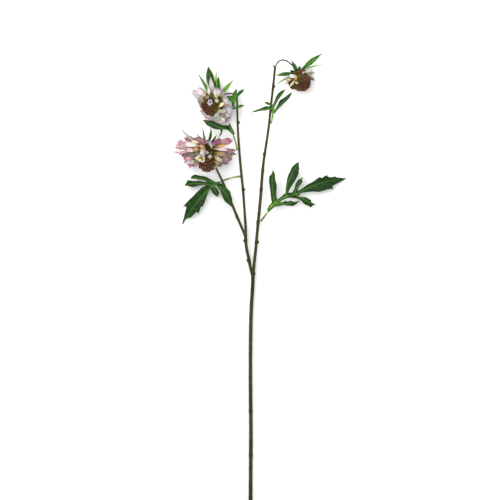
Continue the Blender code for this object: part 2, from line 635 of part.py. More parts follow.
def bloom_petals(name, plan, bloom, finish, draw, collection):
    """The ring with all its petals: an outer layer, and inner florets that stand up."""
    disc = plan["disc"]
    ring = [(0, -DISC_HALF), (disc, -DISC_HALF), (disc, DISC_HALF), (0, DISC_HALF)]
    pieces = [turned(bloom, ring, 12, collection)]
    for i, row in enumerate(plan["outer"]):
        layer = i % 2
        azimuth, reach, width, lift_in, lift_out, cut = row
        row = (azimuth, reach, width, lift_in + LAYER_LIFT * layer, lift_out, cut)
        pieces.append(petal(bloom, row, disc - 1.6, (layer - 0.5) * DISC_HALF, 3, draw, collection))
    for row in plan["inner"]:
        pieces.append(petal(bloom, row, disc - 1.2, 0.2, 2, draw, collection))
    return fuse(name + "_petals", pieces, collection, finish)


def head_radius(head, u):
    """Radius of the head at the share u of its height: wide at its waist, round at its top."""
    waist = head["widest"]
    if u < waist:
        return head["radius"] * (0.6 + 0.4 * math.sin(math.pi / 2 * u / waist))
    return head["radius"] * math.sqrt(max(0.0, 1 - ((u - waist) / (1 - waist)) ** 2))


def bloom_head(name, plan, bloom, collection):
    """The domed head: a smaller core covered in beads set by the golden angle."""
    head = plan["head"]
    foot = DISC_HALF + SEAT_GAP / MM
    tall, size, count = head["height"] - foot, head["bead"], head["beads"]
    levels = (0.0, 0.3, head["widest"], 0.85)
    core = [(0.0, foot)] + [(head_radius(head, u) * 0.8, foot + tall * 0.9 * u) for u in levels]
    pieces = [turned(bloom, core + [(0.0, foot + tall * 0.92)], 8, collection)]
    for i in range(count):
        u = (i + 0.5) / count
        rise = foot + size + (tall - size * 1.6) * u
        place = bloom.at(GOLDEN_ANGLE * i, head_radius(head, u * 0.97) - size * 0.45, rise)
        normal = (place - bloom.at(0, 0, foot + tall * head["widest"] * 0.8)).normalized()
        pieces.append(bead(place, size * MM, collection, 1.15, normal))
    return fuse(name + "_head", pieces, collection, "beads")


def stem(blooms, collection):
    """The whole stem: main stem, branches, hooked stalks and knobs, fused into one body."""
    low, upper, right = (blooms[k] for k in ("bloom_low_left", "bloom_upper_left", "bloom_right"))
    seat = CUP_DEPTH + SEAT_GAP / MM
    hook = [(spot(207.0, 141.2, 12.4), 0.95), (spot(207.0, 140.6, 16.6), 0.95),
            (low.back(seat + 3.0), 0.95), (low.back(seat), 1.2)]
    pieces = [
        stem_tube(MAIN_STEM, collection, step=MAIN_STEP),
        stem_tube(RIGHT_BRANCH, collection),
        stem_tube(LEFT_BRANCH, collection),
        stem_tube(INNER_LEFT_BRANCH, collection),
        stem_tube(OUTER_LEFT_BRANCH, collection, hook),
        stem_tube(RIGHT_STALK, collection, [(right.back(seat + 2.0), 0.85), (right.back(seat), 1.1)],
                  STALK_STEP, STALK_SIDES),
        stem_tube(UPPER_LEFT_STALK, collection, [(upper.back(seat + 2.0), 0.85), (upper.back(seat), 1.1)],
                  STALK_STEP, STALK_SIDES),
        stem_tube(STUB, collection, step=STALK_STEP, sides=STALK_SIDES),
    ]
    for x, y, height, size in STEM_KNOBS:
        pieces.append(bead(spot(x, y, height), size * MM, collection, 1.2, Vector((0, 1, 0.05))))
    return fuse("stem", pieces, collection, "stem")


def build():
    clear_scene()
    spray = bpy.data.collections.new("scabiosa_spray")
    bpy.context.scene.collection.children.link(spray)
    blooms = {name: Bloom(plan) for name, plan in BLOOMS.items()}
    stem(blooms, spray)
    for name in LEAVES:
        leaf(name, spray)
    for number, (name, plan) in enumerate(BLOOMS.items()):
        draw = random.Random(7 + number)
        finish = "petal_pink" if name == "bloom_low_left" else "petal_white"
        bloom_bracts(name, plan, blooms[name], spray)
        bloom_petals(name, plan, blooms[name], finish, draw, spray)
        bloom_head(name, plan, blooms[name], spray)


build()
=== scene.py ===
"""The looks of a scabiosa flower spray: fine stems, cut leaves, ruffled petals and heads of buds.

The spray lies on a pale floor and the camera looks straight down on it. Metres, +Z up, in the frame of
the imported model. A place is a spot in the photograph (x to the right, y down, in its pixels) with a
height over the floor in millimetres, as in the solid model, whose routes and tables are repeated here.
"""

import math
import random

import bpy
from mathutils import Matrix, Vector, noise
from mathutils.bvhtree import BVHTree
from mathutils.geometry import delaunay_2d_cdt
from mathutils.kdtree import KDTree


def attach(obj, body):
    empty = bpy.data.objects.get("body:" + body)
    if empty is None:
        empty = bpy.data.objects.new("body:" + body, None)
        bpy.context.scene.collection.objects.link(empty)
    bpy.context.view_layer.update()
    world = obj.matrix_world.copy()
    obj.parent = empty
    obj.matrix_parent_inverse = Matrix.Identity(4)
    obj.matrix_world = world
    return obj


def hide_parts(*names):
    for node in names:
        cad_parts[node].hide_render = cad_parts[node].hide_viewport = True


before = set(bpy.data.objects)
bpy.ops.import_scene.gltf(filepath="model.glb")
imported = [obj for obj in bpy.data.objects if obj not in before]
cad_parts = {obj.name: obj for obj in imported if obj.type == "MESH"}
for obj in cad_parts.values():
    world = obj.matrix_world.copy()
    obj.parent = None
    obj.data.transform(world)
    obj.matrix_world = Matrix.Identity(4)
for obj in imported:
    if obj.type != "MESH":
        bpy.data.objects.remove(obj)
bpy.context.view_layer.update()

MM = 0.001
WIDEST_BLOOM = 74.4                  # across the lowest bloom, in mm and in pixels
WIDEST_BLOOM_PIXELS = 62.0
MM_PER_PIXEL = WIDEST_BLOOM / WIDEST_BLOOM_PIXELS
ORIGIN_X = 260.2                     # the pixel column and row that lie over the origin
ORIGIN_Y = 280.5
PHOTO_PIXELS = 500
FLOOR_GAP = 0.15 * MM                # what lies on the floor is pressed flat this far above it

STEM_STEP = 2.5 * MM                 # spacing of the points along a stem
STALK_STEP = 0.9 * MM                # and along a hooked flower stalk
MAIN_RADIUS = 2.2                    # radii in mm, from the cut end up to the blooms
BRANCH_RADIUS = 1.85
TWIG_RADIUS = 1.6
TOP_RADIUS = 1.4
STALK_RADIUS = 0.8
SEAT_GAP = 0.3 * MM                  # between a piece and what carries it
MERGE_DISTANCE = 0.01 * MM           # points closer than this are one point

LEAF_THICKNESS = 0.45 * MM
PETAL_THICKNESS = 0.3 * MM
BRACT_THICKNESS = 0.45 * MM
LEAF_GRAIN = 0.85 * MM               # spacing of the points in a leaf's blade
LEAF_FOLD = 0.28                     # how steeply a leaf rises away from its veins
LEAF_WAVE = 0.55 * MM                # how high its surface waves between them
VEIN_GROOVE = 0.25 * MM              # how deep a vein lies in it
VEIN_SPACING = 3.2                   # between its side veins, in mm
RIPE_REACH = 22 * MM                 # how far from its stalk a leaf takes to turn dark

# Stem routes: photograph x, y, height in mm, radius in mm
MAIN_STEM = [
    (250.5, 507.9, 2.3, MAIN_RADIUS), (250.7, 470.0, 2.7, MAIN_RADIUS),
    (250.9, 430.0, 3.2, MAIN_RADIUS), (250.5, 385.0, 3.8, MAIN_RADIUS),
    (250.5, 345.0, 4.5, MAIN_RADIUS), (251.2, 310.0, 5.2, MAIN_RADIUS),
    (252.7, 285.0, 6.0, MAIN_RADIUS), (252.9, 272.0, 6.5, MAIN_RADIUS),
]
RIGHT_BRANCH = [
    (252.9, 277.0, 6.3, BRANCH_RADIUS), (253.9, 266.0, 6.8, BRANCH_RADIUS),
    (255.6, 250.0, 7.8, BRANCH_RADIUS), (257.4, 230.0, 9.0, BRANCH_RADIUS),
    (260.3, 200.0, 10.6, BRANCH_RADIUS), (263.2, 165.0, 12.2, 1.65),
    (268.3, 130.0, 13.4, 1.5), (271.0, 105.0, 14.2, TOP_RADIUS),
    (273.4, 84.0, 14.8, TOP_RADIUS), (275.1, 66.5, 15.0, TOP_RADIUS),
]
LEFT_BRANCH = [
    (252.9, 277.0, 6.3, TWIG_RADIUS), (251.0, 270.0, 6.8, BRANCH_RADIUS),
    (248.8, 259.0, 7.4, BRANCH_RADIUS), (246.2, 246.0, 8.0, BRANCH_RADIUS),
    (245.6, 233.0, 8.6, BRANCH_RADIUS),
]
INNER_LEFT_BRANCH = [
    (245.5, 238.0, 8.4, TWIG_RADIUS), (245.7, 228.0, 9.0, TWIG_RADIUS),
    (244.6, 212.0, 9.8, 1.55), (243.0, 190.0, 10.8, 1.55), (240.6, 166.0, 11.8, 1.55),
    (238.5, 140.0, 12.8, TOP_RADIUS), (237.5, 118.0, 13.4, 1.3), (237.0, 96.0, 13.6, 1.05),
]
OUTER_LEFT_BRANCH = [
    (245.5, 238.0, 8.4, TWIG_RADIUS), (243.2, 231.0, 8.7, TWIG_RADIUS), (237.0, 216.5, 9.1, TWIG_RADIUS),
    (230.5, 200.5, 9.5, 1.55), (223.0, 182.5, 9.5, 1.4), (216.0, 168.0, 9.2, 1.2),
    (211.5, 157.0, 8.8, 1.05), (208.5, 149.0, 8.5, 1.0), (207.0, 144.0, 8.9, 1.0),
    (207.0, 141.2, 12.4, 0.95), (207.0, 140.6, 16.6, 0.95),
]
RIGHT_STALK = [
    (275.1, 68.0, 14.9, 0.9), (276.9, 63.4, 15.4, STALK_RADIUS), (280.2, 60.5, 15.8, STALK_RADIUS),
    (284.8, 60.2, 15.6, STALK_RADIUS), (288.8, 62.4, 14.6, STALK_RADIUS),
    (292.2, 65.2, 13.7, STALK_RADIUS),
]
STUB = [(275.0, 68.6, 14.9, 0.9), (273.9, 66.4, 15.2, STALK_RADIUS), (272.8, 64.9, 15.6, 0.6)]
UPPER_LEFT_STALK = [
    (237.0, 97.5, 13.6, 1.0), (235.0, 94.6, 12.6, STALK_RADIUS), (230.9, 93.6, 9.4, STALK_RADIUS),
    (226.0, 94.0, 5.4, STALK_RADIUS), (221.0, 96.4, 3.5, STALK_RADIUS),
]

# Knobs on the stems: photograph x, y, height in mm, size in mm
STEM_KNOBS = [
    (254.4, 273.6, 6.6, 1.5), (250.6, 411.0, 3.4, 2.5), (250.8, 455.0, 2.9, 2.5),
    (250.6, 498.0, 2.6, 2.5), (247.6, 260.4, 7.4, 1.55), (244.4, 240.6, 8.3, 1.55),
    (257.9, 242.0, 8.3, 1.55), (257.9, 222.5, 9.4, 2.1), (261.0, 189.5, 11.1, 1.6),
    (262.4, 170.5, 12.0, 1.4), (263.8, 154.0, 12.6, 1.35), (244.2, 189.4, 10.8, 1.4),
    (236.6, 217.0, 9.1, 1.5), (239.0, 122.5, 13.3, 1.25), (273.8, 86.4, 14.9, 1.8),
    (272.4, 88.4, 14.8, 1.0),
]
KNOB_LENGTH = 1.25                   # a knob's length, of its thickness
KNOB_SWELL = 0.16                    # how much thicker a stem is at a knob, of its radius
KNOB_REACH = 2.2 * MM                # how far the swelling reaches along it
BAND_HALO = 3.5 * MM                 # and how far the knob's brown does

# Brown bands round the stem: their photograph rows and half their lengths, in pixels
BROWN_BANDS = [(404.0, 9.0), (448.0, 8.0), (492.0, 9.0), (283.0, 10.0)]

# Leaves. The rib goes from the stem through the blade, and a lobe's vein is its base, middle and tip.
# Both are photograph x, y and height in mm. The edges are outlines in photograph x, y: each is a list
# of smooth stretches that meet in corners, and together they cover the blade.
LEAVES = {
    "leaf_right_large": {
        "rib": [(260.65, 221.2, 10.45), (264.8, 216.0, 11.6), (268.3, 211.2, 12.2),
                (272.9, 204.3, 12.4), (279.0, 200.4, 12.0), (285.9, 196.4, 11.4), (297.4, 193.4, 10.2)],
        "veins": [
            [(295.5, 194.2, 10.4), (319.0, 183.6, 8.0), (346.4, 178.4, 0.4)],
            [(275.2, 203.2, 12.2), (272.2, 185.0, 14.5), (272.9, 169.8, 11.0)],
            [(286.6, 196.0, 11.4), (289.0, 179.5, 14.8), (298.9, 161.8, 11.5)],
            [(294.2, 194.4, 10.8), (297.6, 186.0, 13.2), (302.9, 177.4, 13.6)],
            [(296.6, 194.8, 10.4), (305.6, 200.4, 9.8), (316.1, 204.8, 6.5)],
            [(275.6, 203.2, 12.2), (286.5, 203.6, 12.6), (299.7, 200.6, 10.6)],
        ],
        "edges": [
            [[(268.9, 212.2), (267.3, 209.0), (271.1, 203.2), (276.4, 200.2), (281.7, 196.3),
              (284.7, 193.6)],
             [(288.3, 192.9), (292.6, 192.3), (297.9, 190.8)], [(300.2, 193.6)], [(297.0, 198.5)],
             [(288.9, 197.7), (283.5, 199.6), (279.8, 202.1), (275.2, 206.6), (272.6, 208.5)],
             [(268.9, 212.2)]],
            [[(274.0, 205.2), (271.5, 201.0), (270.6, 192.8), (269.2, 182.1), (269.5, 176.0)],
             [(271.4, 174.2), (272.9, 169.6)], [(274.8, 173.7), (275.0, 176.0)],
             [(275.4, 180.0), (276.7, 185.9), (276.3, 195.1), (277.9, 201.5)], [(274.0, 205.2)]],
            [[(283.8, 198.6), (285.3, 193.8), (285.9, 187.7), (287.1, 179.2), (288.6, 174.4)],
             [(289.4, 172.8), (291.6, 168.0)], [(292.4, 166.8), (295.0, 164.2), (298.9, 161.5)],
             [(298.9, 165.0), (299.3, 168.6)], [(298.8, 170.6), (298.9, 172.8)],
             [(297.8, 175.6), (293.8, 182.3), (290.8, 187.1), (288.6, 191.8), (288.4, 197.0)],
             [(283.8, 198.6)]],
            [[(291.6, 195.6), (292.9, 191.6), (294.7, 187.7), (295.6, 184.1), (297.4, 180.8)],
             [(300.2, 178.7), (303.0, 177.2)], [(302.0, 179.6)], [(302.9, 181.5)],
             [(300.8, 184.3), (298.2, 188.2), (297.9, 192.6)], [(291.6, 195.6)]],
            [[(294.8, 193.0), (298.3, 190.9), (302.9, 188.0), (307.7, 184.5), (313.2, 181.5),
              (316.2, 179.3), (320.0, 176.9)], [(321.7, 178.0), (324.1, 176.4), (327.1, 175.0)],
             [(328.3, 176.7), (331.4, 177.3), (335.0, 176.3)], [(337.6, 177.5), (346.6, 178.3)],
             [(342.3, 180.7), (336.8, 183.6), (332.9, 185.7)], [(332.3, 187.1), (333.9, 188.7)],
             [(330.8, 189.0), (326.5, 189.6)], [(322.9, 190.8), (319.2, 191.8), (312.6, 191.6),
              (306.5, 192.2), (300.5, 193.4), (296.6, 196.2)], [(294.8, 193.0)]],
            [[(293.6, 195.2), (296.8, 195.8), (301.1, 197.0), (305.3, 197.3), (308.0, 198.4),
              (311.0, 200.1)],
             [(311.5, 202.2), (316.1, 204.5)], [(313.2, 205.5), (310.3, 207.3)],
             [(308.3, 205.7), (305.0, 204.5), (302.9, 202.8), (300.5, 200.0), (295.6, 198.2)],
             [(293.6, 195.2)]],
            [[(273.2, 204.8), (277.4, 202.7), (282.3, 202.2), (285.9, 200.6)],
             [(287.6, 201.6), (290.2, 200.6)], [(293.8, 201.7), (297.4, 201.3), (299.9, 200.2)],
             [(297.4, 203.3), (293.0, 206.1)], [(287.7, 205.7), (284.1, 205.1), (279.2, 206.0),
              (274.8, 206.8)], [(273.2, 204.8)]],
        ],
    },
    "leaf_left_large": {
        "rib": [(240.05, 176.3, 10.9), (232.2, 177.6, 8.0), (223.5, 180.4, 6.0), (219.4, 182.6, 7.4),
                (215.6, 184.6, 9.4), (211.0, 186.6, 10.0)],
        "veins": [
            [(213.5, 184.9, 9.6), (197.5, 201.5, 11.5), (181.8, 224.2, 5.5)],
            [(216.0, 184.4, 9.4), (205.0, 179.4, 11.0), (190.6, 176.8, 8.6)],
            [(213.0, 185.4, 9.6), (199.0, 183.4, 11.2), (184.6, 184.4, 8.0)],
            [(211.8, 186.0, 9.8), (215.2, 190.6, 10.2), (218.2, 196.8, 9.6)],
            [(215.6, 186.0, 10.4), (224.4, 192.0, 14.6), (231.2, 206.8, 13.4)],
        ],
        "edges": [
            [[(219.6, 181.6), (215.6, 182.2), (211.0, 181.4), (207.0, 184.0)], [(204.6, 186.4)],
             [(208.0, 190.6)], [(210.8, 189.2), (213.6, 186.4), (216.6, 185.4), (219.6, 186.6)],
             [(219.6, 181.6)]],
            [[(216.4, 182.6), (211.7, 179.9), (207.3, 177.5), (203.7, 176.2), (200.1, 175.8),
              (195.0, 174.5)],
             [(192.5, 175.6), (191.2, 176.6)], [(190.6, 178.6)],
             [(193.0, 178.8), (196.1, 178.9), (200.1, 179.6), (204.6, 180.6), (209.6, 183.4)],
             [(213.0, 185.6)], [(216.4, 182.6)]],
            [[(213.0, 184.0), (208.6, 182.4), (204.6, 181.9), (199.2, 180.9), (193.9, 180.9),
              (187.3, 179.9)],
             [(186.9, 181.8), (184.3, 185.5)], [(187.6, 185.9), (192.5, 187.3)],
             [(196.1, 186.4), (201.0, 185.1), (205.2, 185.1), (209.4, 187.4)], [(213.0, 184.0)]],
            [[(208.6, 183.8), (205.0, 185.8), (201.4, 187.9), (198.8, 190.3), (195.2, 193.9),
              (191.6, 197.7), (189.2, 199.6)], [(186.7, 202.4), (182.6, 206.7)],
             [(184.6, 206.3), (186.4, 207.0)],
             [(185.6, 210.4), (184.0, 216.7), (181.9, 224.1)], [(183.6, 223.4), (185.4, 220.2),
              (187.6, 218.4), (190.9, 217.4)], [(193.9, 214.6), (196.3, 212.0)], [(198.6, 213.6)],
             [(199.7, 210.4), (201.2, 206.7)], [(202.8, 206.8)],
             [(204.8, 201.9), (206.9, 196.6), (208.3, 192.1), (210.2, 187.4)], [(208.6, 183.8)]],
            [[(209.6, 187.2), (210.6, 189.2), (213.0, 193.1), (214.8, 195.2), (217.8, 196.8)],
             [(219.3, 193.0)], [(217.1, 189.3), (214.9, 186.6), (212.6, 185.2)], [(209.6, 187.2)]],
            [[(216.0, 183.6), (220.0, 183.4), (223.5, 184.4), (224.9, 186.3)],
             [(227.3, 188.7), (230.2, 191.6)], [(231.2, 195.7), (232.4, 199.7)],
             [(231.9, 202.4), (232.4, 205.2), (231.0, 206.7)],
             [(228.7, 204.4), (225.0, 201.6)], [(223.2, 198.4), (221.9, 194.8), (220.1, 190.3),
              (217.6, 187.2)], [(216.0, 183.6)]],
        ],
    },
    "leaf_left_middle": {
        "rib": [(236.95, 150.2, 13.65), (236.0, 144.0, 14.6), (233.6, 136.0, 15.6),
                (231.6, 130.6, 16.0)],
        "veins": [
            [(231.8, 131.2, 16.0), (217.4, 126.6, 17.6), (202.4, 119.8, 15.0)],
            [(231.8, 131.2, 16.0), (230.4, 127.0, 17.0), (229.6, 122.4, 17.4)],
            [(222.6, 128.4, 16.8), (221.6, 132.4, 15.4), (218.6, 137.6, 13.4)],
        ],
        "edges": [
            [[(202.5, 119.8)], [(205.8, 119.9), (208.1, 120.3)], [(212.4, 120.7), (216.6, 122.6),
              (220.9, 124.7), (224.2, 125.3), (227.5, 125.2), (230.6, 126.0)],
             [(233.0, 129.6), (234.7, 133.2)], [(233.8, 135.2)], [(231.7, 133.8), (229.3, 131.3),
              (226.4, 129.7), (221.8, 129.6), (217.1, 129.4)], [(213.3, 128.5), (209.5, 126.6),
              (206.7, 124.9)], [(205.0, 122.8), (202.5, 119.8)]],
            [[(227.6, 127.0), (228.9, 124.6), (229.4, 122.4)], [(230.7, 124.8), (232.4, 129.0)],
             [(227.6, 127.0)]],
            [[(224.2, 127.6), (222.7, 129.8), (222.2, 132.4), (220.6, 135.4), (218.2, 138.0)],
             [(219.4, 135.0), (220.7, 132.0), (220.4, 129.8), (219.6, 127.6)], [(224.2, 127.6)]],
        ],
    },
    "leaf_right_upper": {
        "rib": [(271.1, 123.4, 14.95), (272.3, 117.6, 16.5), (273.0, 111.5, 17.4), (272.9, 106.0, 17.6)],
        "veins": [
            [(273.0, 108.8, 17.4), (262.6, 109.4, 19.0), (250.8, 112.6, 16.5)],
            [(272.9, 106.0, 17.6), (268.4, 103.8, 18.4), (264.2, 102.2, 18.6)],
            [(272.9, 106.4, 17.6), (278.0, 98.2, 19.2), (285.8, 89.3, 18.2)],
            [(273.0, 112.6, 17.4), (281.4, 103.6, 17.8), (291.9, 91.8, 15.6)],
        ],
        "edges": [
            [[(271.8, 113.6), (271.7, 108.0), (271.9, 105.0)], [(273.4, 104.2)],
             [(274.2, 108.0), (274.5, 113.6)], [(271.8, 113.6)]],
            [[(250.8, 112.7), (254.0, 110.8), (259.0, 109.0)], [(263.0, 107.2), (266.4, 106.1),
              (270.7, 106.8), (273.8, 108.0)], [(273.2, 110.2)],
             [(270.3, 109.6), (265.0, 110.6)], [(261.0, 110.8), (256.6, 111.8), (250.8, 112.7)]],
            [[(264.1, 102.1), (267.4, 101.9), (270.6, 103.4), (273.4, 105.0)], [(272.6, 107.0)],
             [(269.4, 105.4), (266.0, 104.0)], [(264.1, 102.1)]],
            [[(271.8, 106.6), (273.9, 102.6), (275.4, 98.6)], [(277.4, 94.6), (281.0, 91.2),
              (285.9, 89.2)], [(283.4, 92.8), (281.6, 95.6)], [(278.8, 98.9), (276.0, 103.9),
              (274.4, 107.4)], [(271.8, 106.6)]],
            [[(272.4, 113.0), (274.4, 110.4), (277.1, 106.0), (279.0, 102.0)], [(280.2, 100.2),
              (284.6, 97.4)], [(287.0, 95.4), (291.9, 91.7)], [(291.0, 95.0), (289.2, 98.2)],
             [(285.4, 102.0), (281.0, 106.2)], [(277.8, 109.4), (274.2, 113.9)], [(272.4, 113.0)]],
        ],
    },
    "leaf_left_upper": {
        "rib": [(236.8, 100.6, 15.75), (235.4, 102.0, 16.4), (233.8, 104.4, 16.5), (233.0, 108.0, 16.0)],
        "veins": [
            [(234.8, 102.6, 16.4), (234.6, 95.0, 17.6), (237.2, 88.4, 17.4)],
            [(235.0, 100.6, 16.6), (238.0, 92.4, 18.4), (244.6, 89.3, 18.4)],
            [(234.6, 101.4, 16.6), (230.4, 97.4, 17.0), (225.6, 97.4, 16.4)],
            [(235.2, 101.0, 16.6), (231.6, 101.2, 17.2), (231.8, 105.8, 16.2)],
            [(233.2, 107.4, 16.2), (238.4, 106.9, 16.9), (244.6, 105.4, 16.6)],
        ],
        "edges": [
            [[(233.2, 102.4), (232.6, 98.4), (232.5, 94.8)], [(234.4, 91.2), (237.3, 88.4)],
             [(237.0, 92.4), (236.6, 96.0), (236.4, 102.0)], [(233.2, 102.4)]],
            [[(234.0, 100.4), (235.4, 96.0), (238.5, 91.4)], [(241.0, 89.8), (244.7, 89.2)],
             [(242.4, 92.6), (239.4, 95.2)], [(237.4, 98.0), (236.2, 101.6)], [(234.0, 100.4)]],
            [[(235.2, 102.4), (231.6, 99.6), (228.6, 98.4), (225.4, 97.6)], [(227.8, 96.0),
              (231.4, 95.8), (234.2, 97.6), (236.4, 100.6)], [(235.2, 102.4)]],
            [[(236.8, 100.2), (232.4, 98.0), (228.0, 97.4)], [(228.6, 100.4), (230.4, 102.6)],
             [(231.0, 105.0), (232.0, 106.4)], [(233.6, 104.8), (235.8, 102.8)], [(236.8, 100.2)]],
            [[(232.4, 104.4), (234.8, 103.8)], [(234.2, 107.0)], [(238.2, 105.5), (241.6, 104.8),
              (244.7, 105.2)], [(241.6, 107.2), (238.0, 108.3), (234.2, 109.3)],
             [(232.2, 108.8), (232.4, 104.4)]],
        ],
    },
}

# Colours of petals and florets at the root, in the middle and at the edge. Cup is a floret that
# is pale inside. The near-black floret tint is painted shade for a deep gap between the petals,
# and ring is the green ring under the petals.
TINTS = {
    "rose": ("#a08236", "#c09298", "#934668"),
    "mauve": ("#96802f", "#ab8990", "#81526c"),
    "blush": ("#b09550", "#d6bcba", "#b17c8c"),
    "pearl": ("#a09868", "#cec3c0", "#b3929e"),
    "shell": ("#a89c74", "#c2b4b4", "#b0abad"),
    "smoke": ("#7d7540", "#968a80", "#766867"),
    "white": ("#939a52", "#c3c0bc", "#b0adae"),
    "cream": ("#98903c", "#c4bb94", "#b9ab9a"),
    "lilac": ("#8a903c", "#ada6a8", "#90889a"),
    "ochre": ("#86691c", "#b08a44", "#c08478"),
    "olive": ("#6f6024", "#988550", "#86747e"),
    "purple": ("#8c5a5e", "#7c3f66", "#6c3358"),
    "cup": ("#9a9440", "#b5b06a", "#d2cfd2"),
    # painted shade: a near-black floret set where a deep gap between the petals lies in shade
    "shaded_gap": ("#0c0906", "#120d08", "#3a2f1c"),
    "ring": ("#3a3818", "#35320f", "#35320f"),
}

